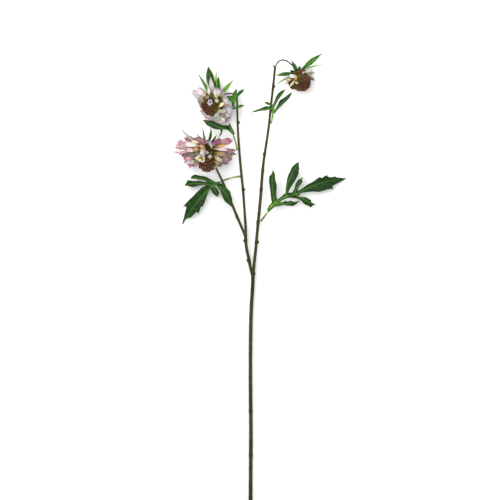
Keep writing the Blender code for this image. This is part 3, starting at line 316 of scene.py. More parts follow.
# Blooms. Lengths in mm, angles in degrees. The axis points out of the head, the azimuth runs round it
# from the photograph's right through its top, and a lift is an angle over the plane of the ring, whose
# radius is the disc. A head has its radius, its height, the share of that height at which it is
# widest, the number of its buds and a bud's radius. Its buds are ripe round one azimuth and above one
# share of its height.
#
# A bract is its azimuth, reach from the axis, width, lift at the root and lift at the tip, then how
# fresh its green is and where along it is widest, both from 0 to 1, how far it bows aside and how far
# it is turned round its own length. A petal is the same up to its lifts, then its tint and its cut.
#
# What lies loose is placed by spots in the photograph. A side bud is one spot and a height. A floret is
# one spot, its radius, the direction and the angle that it leans, and its tint. A loose petal is the
# spots of its root and its tip, its width, its tint and its cut.
BLOOMS = {
    "bloom_low_left": {
        "spot": (207.0, 148.0, 24.4),
        "axis": (0.0, -0.866, 0.5),
        "disc": 11.0,
        "head": {"radius": 9.8, "height": 32.0, "widest": 0.62, "buds": 74, "bud": 2.3,
                 "ripe_azimuth": 240, "ripe_from": 0.3},
        "bracts": [(100, 31, 2.4, -20, -24, 0.55, 0.4, 0.8, 0),
                   (80, 30, 3.4, -20, -24, 0.2, 0.45, -1.2, 0),
                   (124, 22.5, 5.0, -20, -24, 0.8, 0.4, 0.0, 0),
                   (55, 22, 3.2, -20, -24, 0.3, 0.4, -0.6, 0),
                   (145, 20, 4.4, -22, -22, 0.5, 0.4, 0.0, 0), (172, 22, 4.4, -20, -22, 0.5, 0.4, 0.0, 0),
                   (202, 22, 4.4, -14, -16, 0.5, 0.4, 0.0, 0), (28, 20, 4.4, -22, -22, 0.5, 0.4, 0.0, 0),
                   (4, 22, 4.4, -20, -22, 0.5, 0.4, 0.0, 0), (-24, 22, 4.4, -14, -16, 0.5, 0.4, 0.0, 0)],
        "outer": [(40, 37.6, 16, 10, -4, "rose", "broad"), (1, 33.9, 14, 8, 2, "mauve", "broad"),
                  (-18, 36.0, 13, 8, 4, "mauve", "broad"), (-24, 34.2, 13, 14, 16, "olive", "lobed"),
                  (-34, 34.5, 14, 26, 32, "mauve", "frayed"), (-50, 31.4, 12, 30, 36, "smoke", "frayed"),
                  (-66, 31.5, 9, 36, 44, "cream", "lobed"), (82, 22.4, 9, 10, 6, "lilac", "lobed"),
                  (101, 22.0, 12, 4, 0, "rose", "lobed"), (117, 28.8, 13, -2, -10, "rose", "lobed"),
                  (136, 31.0, 8, -6, -18, "cream", "broad"), (135, 44.0, 4.4, -10, -26, "shell", "thin"),
                  (146, 32.6, 11, -4, -16, "rose", "broad"), (153, 40.0, 13, 3, -6, "blush", "lobed"),
                  (172, 38.4, 13, 6, 0, "blush", "frayed"), (184, 39.3, 6, 6, 2, "blush", "thin"),
                  (199, 35.0, 12, 8, 4, "rose", "lobed"), (203, 32.6, 12, 14, 14, "smoke", "frayed"),
                  (215, 35.4, 12, 22, 26, "pearl", "frayed"), (224, 34.0, 10, 30, 36, "rose", "lobed"),
                  (238, 31.8, 9, 34, 40, "white", "lobed"), (256, 28.0, 12, 8, 8, "pearl", "lobed"),
                  (-52, 28.0, 11, 8, 8, "smoke", "lobed")],
        "inner": [(60, 21, 8, 30, 36, "lilac", "broad"), (122, 22, 9, 34, 40, "blush", "lobed"),
                  (159, 25, 11, 26, 32, "blush", "frayed"), (200, 23, 10, 30, 40, "smoke", "frayed"),
                  (226, 23, 9, 40, 48, "white", "lobed"), (324, 21, 10, 34, 42, "cream", "lobed"),
                  (14, 24, 10, 28, 34, "olive", "lobed")],
        # the near-black floret at (207.4, 147.0) is painted shade for a deep gap between the petals
        "florets": [(200.6, 158.4, 4.8, 235, 30, "cup"), (207.4, 147.0, 2.4, 270, 10, "shaded_gap"),
                    (203.6, 154.6, 2.2, 200, 30, "lilac"),
                    (209.6, 156.6, 2.0, 330, 26, "lilac"), (196.8, 152.6, 2.4, 210, 30, "cream"),
                    (207.0, 152.2, 1.7, 280, 10, "lilac"), (216.6, 157.4, 2.4, 330, 30, "cream"),
                    (193.6, 160.2, 2.2, 200, 40, "olive")],
        "loose": [(211.4, 145.4, 220.6, 138.6, 5.4, "purple", "broad"),
                  (215.4, 147.0, 226.5, 144.6, 3.4, "ochre", "broad"),
                  (213.4, 148.6, 228.5, 149.6, 4.2, "blush", "broad"),
                  (214.0, 152.6, 226.5, 154.6, 4.6, "olive", "lobed"),
                  (209.4, 146.6, 209.8, 140.8, 2.6, "white", "lobed"),
                  (211.6, 149.4, 211.2, 143.0, 2.2, "cream", "broad"),
                  (207.4, 143.0, 191.6, 144.8, 2.2, "purple", "thin"),
                  (205.4, 145.6, 199.6, 146.8, 4.4, "ochre", "lobed"),
                  (200.4, 149.6, 193.6, 148.4, 4.4, "ochre", "lobed"),
                  (199.6, 143.0, 191.2, 141.0, 3.8, "cream", "broad"),
                  (198.0, 145.6, 184.0, 143.6, 6.0, "pearl", "frayed"),
                  (197.0, 150.6, 184.8, 149.6, 5.0, "blush", "lobed"),
                  (197.6, 153.4, 187.6, 155.0, 5.6, "smoke", "lobed"),
                  (196.6, 157.4, 183.4, 158.4, 4.4, "rose", "lobed"),
                  (197.0, 161.0, 185.4, 162.4, 5.4, "white", "frayed"),
                  (214.6, 158.0, 222.6, 161.0, 5.0, "cream", "frayed"),
                  (214.0, 161.0, 219.6, 165.0, 4.4, "olive", "frayed"),
                  (206.0, 150.4, 199.2, 150.6, 4.6, "blush", "lobed"),
                  (205.8, 153.6, 199.6, 152.8, 4.0, "pearl", "lobed"),
                  (207.8, 157.0, 211.8, 156.2, 3.2, "white", "lobed"),
                  (206.2, 148.2, 201.0, 147.4, 3.0, "ochre", "broad")],
    },
    "bloom_upper_left": {
        "spot": (214.4, 103.0, 12.6),
        "axis": (-0.42, -0.33, 0.845),
        "disc": 12.0,
        "head": {"radius": 12.8, "height": 17.6, "widest": 0.35, "buds": 128, "bud": 1.8,
                 "ripe_azimuth": 215, "ripe_from": 0.8},
        "bracts": [(109, 45.4, 10.4, -12, -16, 0.12, 0.6, -0.8, 0),
                   (93, 38.2, 3.6, -12, -14, 1.0, 0.5, 0.0, 0),
                   (87, 32.0, 9.8, -12, -14, 0.2, 0.45, 0.0, 0),
                   (55, 38.2, 4.8, -10, -12, 0.7, 0.5, 0.4, 0),
                   (132, 41.0, 4.2, -12, -14, 0.5, 0.4, -0.8, 0),
                   (148, 24, 5.0, -12, -12, 0.4, 0.4, 0.0, 0), (-6, 19, 5.0, -12, -14, 0.4, 0.4, 0.0, 0),
                   (-34, 22, 4.6, -8, -10, 0.3, 0.4, 0.0, 0), (172, 18, 4.6, -8, -8, 0.4, 0.4, 0.0, 0)],
        "outer": [(98, 33.0, 6.4, 6, 2, "white", "thin"), (108, 25.0, 5, 8, 4, "white", "thin"),
                  (143, 27.6, 9, 6, 2, "shell", "broad"), (159, 31.4, 11, 2, -2, "shell", "broad"),
                  (177, 22.4, 9, 0, 2, "smoke", "frayed"), (196, 19.7, 8, 8, 14, "smoke", "lobed"),
                  (225, 23.0, 9, 4, 10, "pearl", "lobed"), (245, 23.6, 9, 2, 8, "pearl", "frayed"),
                  (270, 23.8, 10, 2, 2, "white", "lobed"), (-65, 27.4, 12, 2, 2, "white", "broad"),
                  (-45, 27.5, 12, 4, 0, "smoke", "lobed"), (-20, 26.3, 15, 6, -2, "lilac", "broad"),
                  (1, 24.2, 14, 10, 0, "lilac", "broad"), (21, 21.6, 10, 12, 6, "white", "lobed"),
                  (43, 20.0, 10, 16, 12, "cream", "lobed"), (58, 24.6, 11, 14, 8, "lilac", "broad"),
                  (78, 21.4, 10, 14, 8, "white", "lobed")],
        "inner": [(59, 22.5, 9, 38, 44, "cream", "lobed"), (89, 20.5, 6, 36, 44, "cream", "thin"),
                  (126, 18.8, 8, 34, 44, "cream", "lobed"), (8, 19.5, 9, 34, 40, "cream", "broad"),
                  (-40, 20.0, 10, 34, 44, "white", "lobed")],
        # the near-black floret at (213.6, 98.8) is painted shade for a deep gap between the petals
        "florets": [(210.0, 102.4, 3.4, 210, 16, "lilac"), (216.4, 100.4, 2.2, 30, 20, "cream"),
                    (213.6, 98.8, 2.4, 90, 10, "shaded_gap"), (207.2, 97.6, 2.0, 140, 30, "olive"),
                    (219.6, 111.0, 2.4, 320, 40, "cup"), (216.6, 114.4, 2.6, 290, 45, "white"),
                    (202.4, 100.6, 2.2, 170, 50, "smoke")],
        "loose": [(218.6, 107.4, 223.8, 102.6, 4.4, "cream", "broad"),
                  (220.0, 112.4, 226.4, 109.6, 5.4, "lilac", "broad"),
                  (216.8, 97.6, 219.4, 88.8, 5.6, "lilac", "broad"),
                  (214.8, 97.0, 215.4, 89.4, 4.0, "white", "broad"),
                  (209.4, 95.4, 208.2, 86.8, 3.2, "white", "thin"),
                  (205.6, 95.6, 195.6, 89.6, 7.0, "shell", "broad"),
                  (218.0, 114.6, 219.6, 120.6, 5.4, "white", "lobed"),
                  (213.8, 98.6, 218.4, 94.4, 2.6, "cream", "broad"),
                  (221.4, 116.4, 224.6, 122.4, 5.0, "pearl", "broad")],
    },
    "bloom_right": {
        "spot": (297.8, 73.4, 15.5),
        "axis": (0.36, -0.88, 0.30),
        "disc": 10.0,
        "head": {"radius": 10.9, "height": 23.2, "widest": 0.45, "buds": 138, "bud": 1.75,
                 "ripe_azimuth": 330, "ripe_from": 0.40},
        "bracts": [(15, 37.9, 6.8, -12, -14, 0.5, 0.45, 0.6, -58),
                   (-9, 33.0, 2.0, 2, 2, 0.9, 0.3, 0.6, -58),
                   (99, 26.9, 4.8, -20, -22, 0.4, 0.3, 0.0, 0),
                   (176, 25.8, 5.2, -10, -12, 0.35, 0.45, 0.0, 60),
                   (197, 30.2, 2.2, 0, 14, 0.75, 0.3, 1.2, 60),
                   (66, 10.9, 5.0, -20, -22, 0.55, 0.4, 0.0, 0),
                   (138, 11.0, 5.0, -16, -18, 0.0, 0.4, 0.0, 0),
                   (-60, 14.0, 4.6, -10, -12, 0.4, 0.4, 0.0, 0),
                   (-120, 14.0, 4.6, -10, -12, 0.4, 0.4, 0.0, 0)],
        "side_buds": [(289.3, 82.6, 16.5), (290.2, 85.2, 16.5), (291.2, 87.3, 16.0), (293.0, 88.0, 16.5),
                      (292.6, 85.2, 18.5), (291.5, 82.8, 18.5), (293.9, 83.6, 20.0), (294.6, 86.4, 19.0),
                      (290.6, 80.4, 18.0), (296.7, 86.6, 20.5), (293.4, 81.0, 20.0)],
        "outer": [(166, 17.4, 9, 14, 20, "white", "broad"), (-166, 17.0, 8, 14, 20, "white", "lobed"),
                  (165, 23.4, 6, 30, 50, "cream", "lobed"), (-20, 22.4, 9, 10, 10, "white", "broad"),
                  (-6, 17.0, 8, 16, 20, "white", "broad"), (-42, 26.0, 7, 26, 32, "smoke", "thin"),
                  (20, 13.6, 8, 10, 10, "white", "lobed"), (-70, 17.0, 9, 12, 18, "pearl", "lobed"),
                  (-100, 15.5, 9, 14, 20, "cream", "lobed"), (-132, 16.5, 9, 12, 18, "pearl", "lobed")],
        "inner": [],
        "florets": [(296.6, 82.6, 1.7, 250, 20, "white"), (288.2, 81.4, 1.6, 190, 30, "smoke"),
                    (303.2, 72.8, 1.4, 60, 20, "lilac"), (295.8, 78.6, 1.8, 180, 20, "ochre")],
        "loose": [(297.4, 76.6, 288.8, 75.8, 5.0, "white", "broad"),
                  (295.2, 79.8, 289.6, 86.8, 3.0, "cream", "broad"),
                  (292.4, 79.4, 286.4, 80.2, 3.2, "cream", "lobed"),
                  (303.6, 72.6, 312.2, 69.4, 3.6, "white", "broad"),
                  (306.6, 73.6, 312.4, 74.0, 3.0, "smoke", "broad")],
    },
}

# The parts of a bloom, in mm and degrees
DISC_HALF = 1.0                      # the ring that carries the petals, half its thickness
OUTER_ROOT = 1.6                     # petals start this far inside the ring's rim
INNER_ROOT = 1.2
LAYER_LIFT = 6.0                     # every second outer petal starts this much steeper
CUP_DEPTH = 5.0                      # the green cup behind the ring, below its plane
CUP_FOOT = 2.2                       # the radius of the cup where the stalk meets it
CUP_RIBS = 10
GOLDEN_ANGLE = 180 * (3 - math.sqrt(5))
CORE_SHARE = 0.84                    # radius of the head's core, painted near-black as the shade between the buds, of the head's own
SIDE_BUD = 2.0                       # radius of a bud beside the right head
SIDE_BUD_WAY = (-0.4, -0.3, 1.0)     # where it points
OPEN_HEIGHT = 20 * MM                # of what lies loose where nothing is under it
TALLEST = 49.7 * MM                  # nothing that lies loose reaches higher over the floor
PETAL_STREAKS = 14.0                 # fine streaks across a petal

NOISE_SEED = 1                       # without a seed noise_vector starts from the clock
PETAL_SEED = 7                       # of the random draws, plus the bloom's number
BUD_SEED = 17

# How a petal is cut: how far its end is rounded, the depth of its notches and of its teeth, both of its
# length, and how much it is ruffled, of its width
CUTS = {
    "broad": (0.5, 0.04, 0.010, 0.05),
    "lobed": (0.32, 0.13, 0.012, 0.08),
    "frayed": (0.28, 0.10, 0.035, 0.10),
    "thin": (0.94, 0.0, 0.0, 0.03),
}

MIX_A, MIX_B, MIX_RESULT = 6, 7, 2   # the colour sockets of a Mix node


def linear(hex_colour):
    """sRGB hex to the linear colour that a shader takes."""
    channels = [int(hex_colour[i:i + 2], 16) / 255 for i in (1, 3, 5)]
    return [c / 12.92 if c <= 0.04045 else ((c + 0.055) / 1.055) ** 2.4 for c in channels] + [1.0]


def spot(x, y, height=0.0):
    """A place on the spray, from its spot in the photograph and its height in mm."""
    return Vector(((x - ORIGIN_X) * MM_PER_PIXEL, (ORIGIN_Y - y) * MM_PER_PIXEL, height)) * MM


def smooth_route(points, values, step):
    """Points on a smooth curve through the given ones, about a step apart, with their values."""
    route, sizes = [], []
    for i in range(len(points) - 1):
        before = points[max(i - 1, 0)]
        after = points[min(i + 2, len(points) - 1)]
        start, end = points[i], points[i + 1]
        pieces = max(1, round((end - start).length / step))
        for k in range(pieces):
            t = k / pieces
            bend_in, bend_out = (end - before) / 2, (after - start) / 2
            route.append(start * (2 * t**3 - 3 * t**2 + 1) + end * (3 * t**2 - 2 * t**3)
                         + bend_in * (t**3 - 2 * t**2 + t) + bend_out * (t**3 - t**2))
            sizes.append(values[i] * (1 - t) + values[i + 1] * t)
    return route + [points[-1]], sizes + [values[-1]]


def smoothstep(low, high, value):
    """0 up to the low value and 1 from the high one, with a smooth step between them."""
    t = min(1.0, max(0.0, (value - low) / (high - low)))
    return t * t * (3 - 2 * t)


# Modelling


def pick(pieces):
    """Selects these pieces alone, the first as the active one."""
    bpy.ops.object.select_all(action="DESELECT")
    for piece in pieces:
        piece.select_set(True)
    bpy.context.view_layer.objects.active = pieces[0]


def named(name):
    """The piece that was just added, with its name."""
    piece = bpy.context.object
    piece.name = name
    piece.data.name = name
    return piece


def join(name, pieces):
    """Makes one piece of several."""
    pick(pieces)
    if len(pieces) > 1:
        bpy.ops.object.join()
    return named(name)


def apply_modifiers(piece):
    pick([piece])
    for modifier in list(piece.modifiers):
        bpy.ops.object.modifier_apply(modifier=modifier.name)


def merge_points(piece, turn_out=False):
    """Merges the points that meet, and on a closed piece turns the faces outwards."""
    pick([piece])
    bpy.ops.object.mode_set(mode="EDIT")
    bpy.ops.mesh.select_all(action="SELECT")
    bpy.ops.mesh.remove_doubles(threshold=MERGE_DISTANCE)
    if turn_out:
        bpy.ops.mesh.normals_make_consistent(inside=False)
    bpy.ops.object.mode_set(mode="OBJECT")


def thicken(piece, thickness):
    """Gives an open sheet a wall, half of it on each side."""
    wall = piece.modifiers.new("wall", "SOLIDIFY")
    wall.thickness = thickness
    wall.offset = 0.0
    apply_modifiers(piece)


def shade(piece, angle):
    """Shades a piece smooth across the edges that bend less than an angle."""
    pick([piece])
    bpy.ops.object.shade_smooth_by_angle(angle=math.radians(angle))


def settle(piece):
    """Presses flat on the floor what would go into it."""
    for vertex in piece.data.vertices:
        vertex.co.z = max(vertex.co.z, FLOOR_GAP)


def note(piece, name, values):
    """Keeps a number or a colour at each point of a piece: one for all, or a list of them."""
    count = len(piece.data.vertices)
    if not isinstance(values, list):
        values = [values] * count
    if isinstance(values[0], tuple):
        layer = piece.data.attributes.new(name, "FLOAT_COLOR", "POINT")
        layer.data.foreach_set("color", [channel for colour in values for channel in colour])
    else:
        layer = piece.data.attributes.new(name, "FLOAT", "POINT")
        layer.data.foreach_set("value", values)


def sheet(name, columns, rows, place):
    """A grid laid over the surface place(s, t), s from -1 to 1 across and t from 0 to 1 along."""
    bpy.ops.mesh.primitive_grid_add(x_subdivisions=columns, y_subdivisions=rows, size=2)
    piece = named(name)
    for vertex in piece.data.vertices:
        vertex.co = place(vertex.co.x, (vertex.co.y + 1) / 2)
    return piece


def tube(name, route, radii, resolution):
    """A round stem along a route, with its radii in mm, closed at both ends."""
    bpy.ops.curve.primitive_bezier_curve_add()
    piece = named(name)
    curve = piece.data
    curve.splines.clear()
    line = curve.splines.new("POLY")
    line.points.add(len(route) - 1)
    for point, place, radius in zip(line.points, route, radii):
        point.co = (*place, 1.0)
        point.radius = radius
    curve.dimensions = "3D"
    curve.bevel_depth = MM
    curve.bevel_resolution = resolution
    curve.use_fill_caps = True
    pick([piece])
    bpy.ops.object.convert(target="MESH")
    piece = named(name)
    merge_points(piece, turn_out=True)
    return piece


def turned(name, profile, sides, bloom):
    """A turned piece on a bloom's axis from (radius, rise) pairs in mm, closed at both ends."""
    radius, rise = profile[0]
    bpy.ops.mesh.primitive_circle_add(vertices=sides, radius=radius * MM, fill_type="NGON",
                                      location=(0, 0, rise * MM))
    piece = named(name)
    bpy.ops.object.transform_apply(location=True)
    bpy.ops.object.mode_set(mode="EDIT")
    bpy.ops.mesh.select_all(action="SELECT")
    for next_radius, next_rise in profile[1:]:
        bpy.ops.mesh.extrude_region_move(
            TRANSFORM_OT_translate={"value": (0, 0, (next_rise - rise) * MM)})
        scale = next_radius / radius
        bpy.ops.transform.resize(value=(scale, scale, 1), center_override=(0, 0, 0))
        radius, rise = next_radius, next_rise
    bpy.ops.mesh.select_all(action="SELECT")
    bpy.ops.mesh.normals_make_consistent(inside=False)
    bpy.ops.object.mode_set(mode="OBJECT")
    turn = bloom.axis.to_track_quat("Z", "Y").to_matrix().to_4x4()
    piece.data.transform(Matrix.Translation(bloom.centre) @ turn)
    return piece


def fuse(piece, others):
    """Joins the others to the piece as one closed body."""
    gathered = bpy.data.collections.new(piece.name + "_parts")
    bpy.context.scene.collection.children.link(gathered)
    for other in others:
        gathered.objects.link(other)
    union = piece.modifiers.new("union", "BOOLEAN")
    union.operation = "UNION"
    union.operand_type = "COLLECTION"
    union.collection = gathered
    union.solver = "MANIFOLD"
    apply_modifiers(piece)
    for other in others:
        bpy.data.objects.remove(other)
    bpy.data.collections.remove(gathered)
    return piece


def hand_over(piece, material, slot, node):
    """Gives a finished piece its material and its place in the frame."""
    piece.data.materials.clear()
    piece.data.materials.append(material)
    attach(piece, "root")
    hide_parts(node)


# Materials


def add_node(tree, kind, inputs=None, stops=None, **settings):
    """Adds a node with its settings; an input is a value or another node's socket."""
    node = tree.nodes.new(kind)
    for name, value in settings.items():
        setattr(node, name, value)
    for name, value in (inputs or {}).items():
        if isinstance(value, bpy.types.NodeSocket):
            tree.links.new(value, node.inputs[name])
        else:
            node.inputs[name].default_value = value
    if stops:
        elements = node.color_ramp.elements
        while len(elements) < len(stops):
            elements.new(1.0)
        for element, (place, colour) in zip(elements, stops):
            element.position = place
            element.color = linear(colour)
    return node


def new_material(name, **inputs):
    """An empty material with its shader, whose inputs are constants until they are linked."""
    material = bpy.data.materials.new(name)
    material.use_nodes = True
    shader = material.node_tree.nodes["Principled BSDF"]
    for socket, value in inputs.items():
        shader.inputs[socket.replace("_", " ")].default_value = value
    return material, material.node_tree, shader


def spread(tree, pattern, amount, base, **settings):
    """A base value raised and lowered by a pattern, whose middle is 0.5."""
    shift = add_node(tree, "ShaderNodeMath", {0: pattern, 1: 0.5}, operation="SUBTRACT")
    return add_node(tree, "ShaderNodeMath", {0: shift.outputs[0], 1: amount, 2: base},
                    operation="MULTIPLY_ADD", **settings).outputs[0]


def finish_skin(tree, shader, colour, bump, rough=None):
    """Links what a skin is made of to its shader."""
    tree.links.new(colour.outputs[MIX_RESULT], shader.inputs["Base Color"])
    tree.links.new(bump.outputs["Normal"], shader.inputs["Normal"])
    if rough:
        tree.links.new(rough.outputs[0], shader.inputs["Roughness"])


def stem_material():
    """Herbaceous stem with a woody skin: olive green, brown at its nodes, matt, with long fibres."""
    material, tree, shader = new_material("green_wood_stem", IOR=1.45, Specular_IOR_Level=0.15)
    place = add_node(tree, "ShaderNodeTexCoord").outputs["Object"]
    along = add_node(tree, "ShaderNodeMapping", {"Vector": place, "Scale": (1.0, 0.06, 1.0)}).outputs[0]
    # Fibres 0.5 mm apart, coarser than real ones so that they show, drawn out along the stem
    fibres = add_node(tree, "ShaderNodeTexNoise", {"Vector": along, "Scale": 1 / (0.5 * MM), "Detail": 3.0})
    patches = add_node(tree, "ShaderNodeTexNoise", {"Vector": place, "Scale": 1 / (6 * MM), "Detail": 4.0})
    green = add_node(tree, "ShaderNodeValToRGB", {"Fac": patches.outputs["Fac"]},
                     [(0.34, "#1d1c0c"), (0.5, "#2e2d14"), (0.64, "#403f1c")])
    brown = add_node(tree, "ShaderNodeAttribute", attribute_name="brown").outputs["Fac"]
    reach = spread(tree, patches.outputs["Fac"], 1.6, brown, use_clamp=True)
    skin = add_node(tree, "ShaderNodeMix", {0: reach, MIX_A: green.outputs["Color"],
                                            MIX_B: linear("#1b120a")}, data_type="RGBA")
    streak = add_node(tree, "ShaderNodeMapRange", {"Value": fibres.outputs["Fac"], "From Min": 0.35,
                                                   "From Max": 0.7, "To Min": 0.0, "To Max": 0.35})
    colour = add_node(tree, "ShaderNodeMix", {0: streak.outputs[0], MIX_A: skin.outputs[MIX_RESULT],
                                              MIX_B: linear("#5a5629")}, data_type="RGBA")
    bump = add_node(tree, "ShaderNodeBump", {"Height": fibres.outputs["Fac"], "Strength": 0.5,
                                             "Distance": 0.15 * MM})
    rough = add_node(tree, "ShaderNodeMapRange", {"Value": patches.outputs["Fac"], "To Min": 0.5,
                                                  "To Max": 0.75})
    finish_skin(tree, shader, colour, bump, rough)
    return material


def leaf_material():
    """Leaf blade: dark green with a waxy skin, pale veins and a yellow-green stalk."""
    material, tree, shader = new_material("leaf_blade", IOR=1.42, Subsurface_Weight=0.08,
                                          Subsurface_Scale=0.6 * MM, Specular_IOR_Level=0.15)
    place = add_node(tree, "ShaderNodeTexCoord").outputs["Object"]
    # Cloudy patches 5 mm wide and a skin of cells, drawn 0.8 mm wide to show
    mottle = add_node(tree, "ShaderNodeTexNoise", {"Vector": place, "Scale": 1 / (5 * MM), "Detail": 5.0})
    cells = add_node(tree, "ShaderNodeTexNoise", {"Vector": place, "Scale": 1 / (0.8 * MM), "Detail": 3.0})
    ripe = add_node(tree, "ShaderNodeAttribute", attribute_name="ripe").outputs["Fac"]
    tone = spread(tree, mottle.outputs["Fac"], 0.55, ripe)
    blade = add_node(tree, "ShaderNodeValToRGB", {"Fac": tone},
                     [(0.0, "#3a3519"), (0.16, "#66712f"), (0.32, "#9fb052"), (0.48, "#4c7d27"),
                      (0.62, "#2b5617"), (0.82, "#1c3c10"), (1.0, "#102508")])
    rib = add_node(tree, "ShaderNodeAttribute", attribute_name="rib").outputs["Fac"]
    veined = add_node(tree, "ShaderNodeMix", {0: rib, MIX_A: blade.outputs["Color"],
                                              MIX_B: linear("#518232")}, data_type="RGBA")
    # Side veins, slanting forward from the middle vein
    along = add_node(tree, "ShaderNodeAttribute", attribute_name="vein_run").outputs["Fac"]
    line = add_node(tree, "ShaderNodeMath", {0: along, 1: VEIN_SPACING / 2}, operation="PINGPONG")
    thin = add_node(tree, "ShaderNodeMapRange", {"Value": line.outputs[0], "From Min": 0.0,
                                                 "From Max": 0.42, "To Min": 0.12, "To Max": 0.0})
    colour = add_node(tree, "ShaderNodeMix", {0: thin.outputs[0], MIX_A: veined.outputs[MIX_RESULT],
                                              MIX_B: linear("#46702e")}, data_type="RGBA")
    relief = add_node(tree, "ShaderNodeMath", {0: cells.outputs["Fac"], 1: thin.outputs[0]},
                      operation="SUBTRACT")
    bump = add_node(tree, "ShaderNodeBump", {"Height": relief.outputs[0], "Strength": 0.6,
                                             "Distance": 0.2 * MM})
    rough = add_node(tree, "ShaderNodeMapRange", {"Value": mottle.outputs["Fac"], "From Min": 0.3,
                                                  "From Max": 0.7, "To Min": 0.38, "To Max": 0.58})
    finish_skin(tree, shader, colour, bump, rough)
    return material


def bract_material():
    """Young green bract: soft and half matt, pale along its fold and brown at its dried tip."""
    material, tree, shader = new_material("young_bract", IOR=1.42, Subsurface_Weight=0.12,
                                          Subsurface_Scale=0.6 * MM, Specular_IOR_Level=0.15)
    place = add_node(tree, "ShaderNodeTexCoord").outputs["Object"]
    # Cloudy patches 3 mm wide
    mottle = add_node(tree, "ShaderNodeTexNoise", {"Vector": place, "Scale": 1 / (3 * MM), "Detail": 4.0})
    fresh = add_node(tree, "ShaderNodeAttribute", attribute_name="fresh").outputs["Fac"]
    tone = spread(tree, mottle.outputs["Fac"], 0.9, fresh)
    green = add_node(tree, "ShaderNodeValToRGB", {"Fac": tone},
                     [(0.0, "#153010"), (0.3, "#28521f"), (0.6, "#427828"), (0.85, "#689836"),
                      (1.0, "#84a944")])
    fold = add_node(tree, "ShaderNodeAttribute", attribute_name="fold").outputs["Fac"]
    folded = add_node(tree, "ShaderNodeMix", {0: fold, MIX_A: green.outputs["Color"],
                                              MIX_B: linear("#8cab50")}, data_type="RGBA")
    dry = add_node(tree, "ShaderNodeAttribute", attribute_name="dry").outputs["Fac"]
    colour = add_node(tree, "ShaderNodeMix", {0: dry, MIX_A: folded.outputs[MIX_RESULT],
                                              MIX_B: linear("#3b2f1d")}, data_type="RGBA")
    bump = add_node(tree, "ShaderNodeBump", {"Height": mottle.outputs["Fac"], "Strength": 0.4,
                                             "Distance": 0.2 * MM})
    rough = add_node(tree, "ShaderNodeMapRange", {"Value": mottle.outputs["Fac"], "From Min": 0.3,
                                                  "From Max": 0.7, "To Min": 0.42, "To Max": 0.6})
    finish_skin(tree, shader, colour, bump, rough)
    return material


def petal_material(name):
    """Petal: thin, velvety and a little translucent, stained along its length in fine streaks."""
    material, tree, shader = new_material(name, Roughness=0.72, IOR=1.38, Subsurface_Weight=0.25,
                                          Subsurface_Scale=0.8 * MM, Sheen_Weight=0.05,
                                          Sheen_Roughness=0.5, Specular_IOR_Level=0.2)
    grid = add_node(tree, "ShaderNodeUVMap", uv_map="UVMap").outputs["UV"]
    parts = add_node(tree, "ShaderNodeSeparateXYZ", {"Vector": grid})
    # Fine streaks that run from the root to the edge, moved along so that no two petals are alike
    across = (PETAL_STREAKS, 1.6, 1.0)
    drawn = add_node(tree, "ShaderNodeMapping", {"Vector": grid, "Scale": across}).outputs[0]
    place = add_node(tree, "ShaderNodeTexCoord").outputs["Object"]
    shifted = add_node(tree, "ShaderNodeVectorMath", {0: place, 3: 20.0}, operation="SCALE")
    own = add_node(tree, "ShaderNodeVectorMath", {0: drawn, 1: shifted.outputs[0]}, operation="ADD")
    streaks = add_node(tree, "ShaderNodeTexNoise", {"Vector": own.outputs[0], "Scale": 1.0, "Detail": 3.0})
    # Faded blots 4 mm wide
    blot = add_node(tree, "ShaderNodeTexNoise", {"Vector": place, "Scale": 1 / (4 * MM), "Detail": 3.0})
    root = add_node(tree, "ShaderNodeAttribute", attribute_name="tint_root").outputs["Color"]
    middle = add_node(tree, "ShaderNodeAttribute", attribute_name="tint_middle").outputs["Color"]
    edge = add_node(tree, "ShaderNodeAttribute", attribute_name="tint_edge").outputs["Color"]
    ragged = add_node(tree, "ShaderNodeMath", {0: streaks.outputs["Fac"], 1: 0.9, 2: parts.outputs["Y"]},
                      operation="MULTIPLY_ADD")
    from_root = add_node(tree, "ShaderNodeMapRange", {"Value": ragged.outputs[0], "From Min": 0.52,
                                                      "From Max": 0.95}, interpolation_type="SMOOTHSTEP")
    inner = add_node(tree, "ShaderNodeMix", {0: from_root.outputs[0], MIX_A: root, MIX_B: middle},
                     data_type="RGBA")
    rim = add_node(tree, "ShaderNodeAttribute", attribute_name="rim").outputs["Fac"]
    stained = add_node(tree, "ShaderNodeMath", {0: streaks.outputs["Fac"], 1: 1.1, 2: rim},
                       operation="MULTIPLY_ADD")
    to_edge = add_node(tree, "ShaderNodeMapRange", {"Value": stained.outputs[0], "From Min": 0.95,
                                                    "From Max": 1.6}, interpolation_type="SMOOTHSTEP")
    outer = add_node(tree, "ShaderNodeMix", {0: to_edge.outputs[0], MIX_A: inner.outputs[MIX_RESULT],
                                             MIX_B: edge}, data_type="RGBA")
    pale = add_node(tree, "ShaderNodeMapRange", {"Value": blot.outputs["Fac"], "From Min": 0.5,
                                                 "From Max": 0.72, "To Min": 0.0, "To Max": 1.0})
    light = add_node(tree, "ShaderNodeRGBToBW", {"Color": outer.outputs[MIX_RESULT]})
    washed = add_node(tree, "ShaderNodeMath", {0: pale.outputs[0], 1: light.outputs[0]},
                      operation="MULTIPLY")
    colour = add_node(tree, "ShaderNodeMix", {0: washed.outputs[0], MIX_A: outer.outputs[MIX_RESULT],
                                              MIX_B: linear("#e2dad6")}, data_type="RGBA")
    bump = add_node(tree, "ShaderNodeBump", {"Height": streaks.outputs["Fac"], "Strength": 0.5,
                                             "Distance": 0.25 * MM})
    finish_skin(tree, shader, colour, bump)
    return material


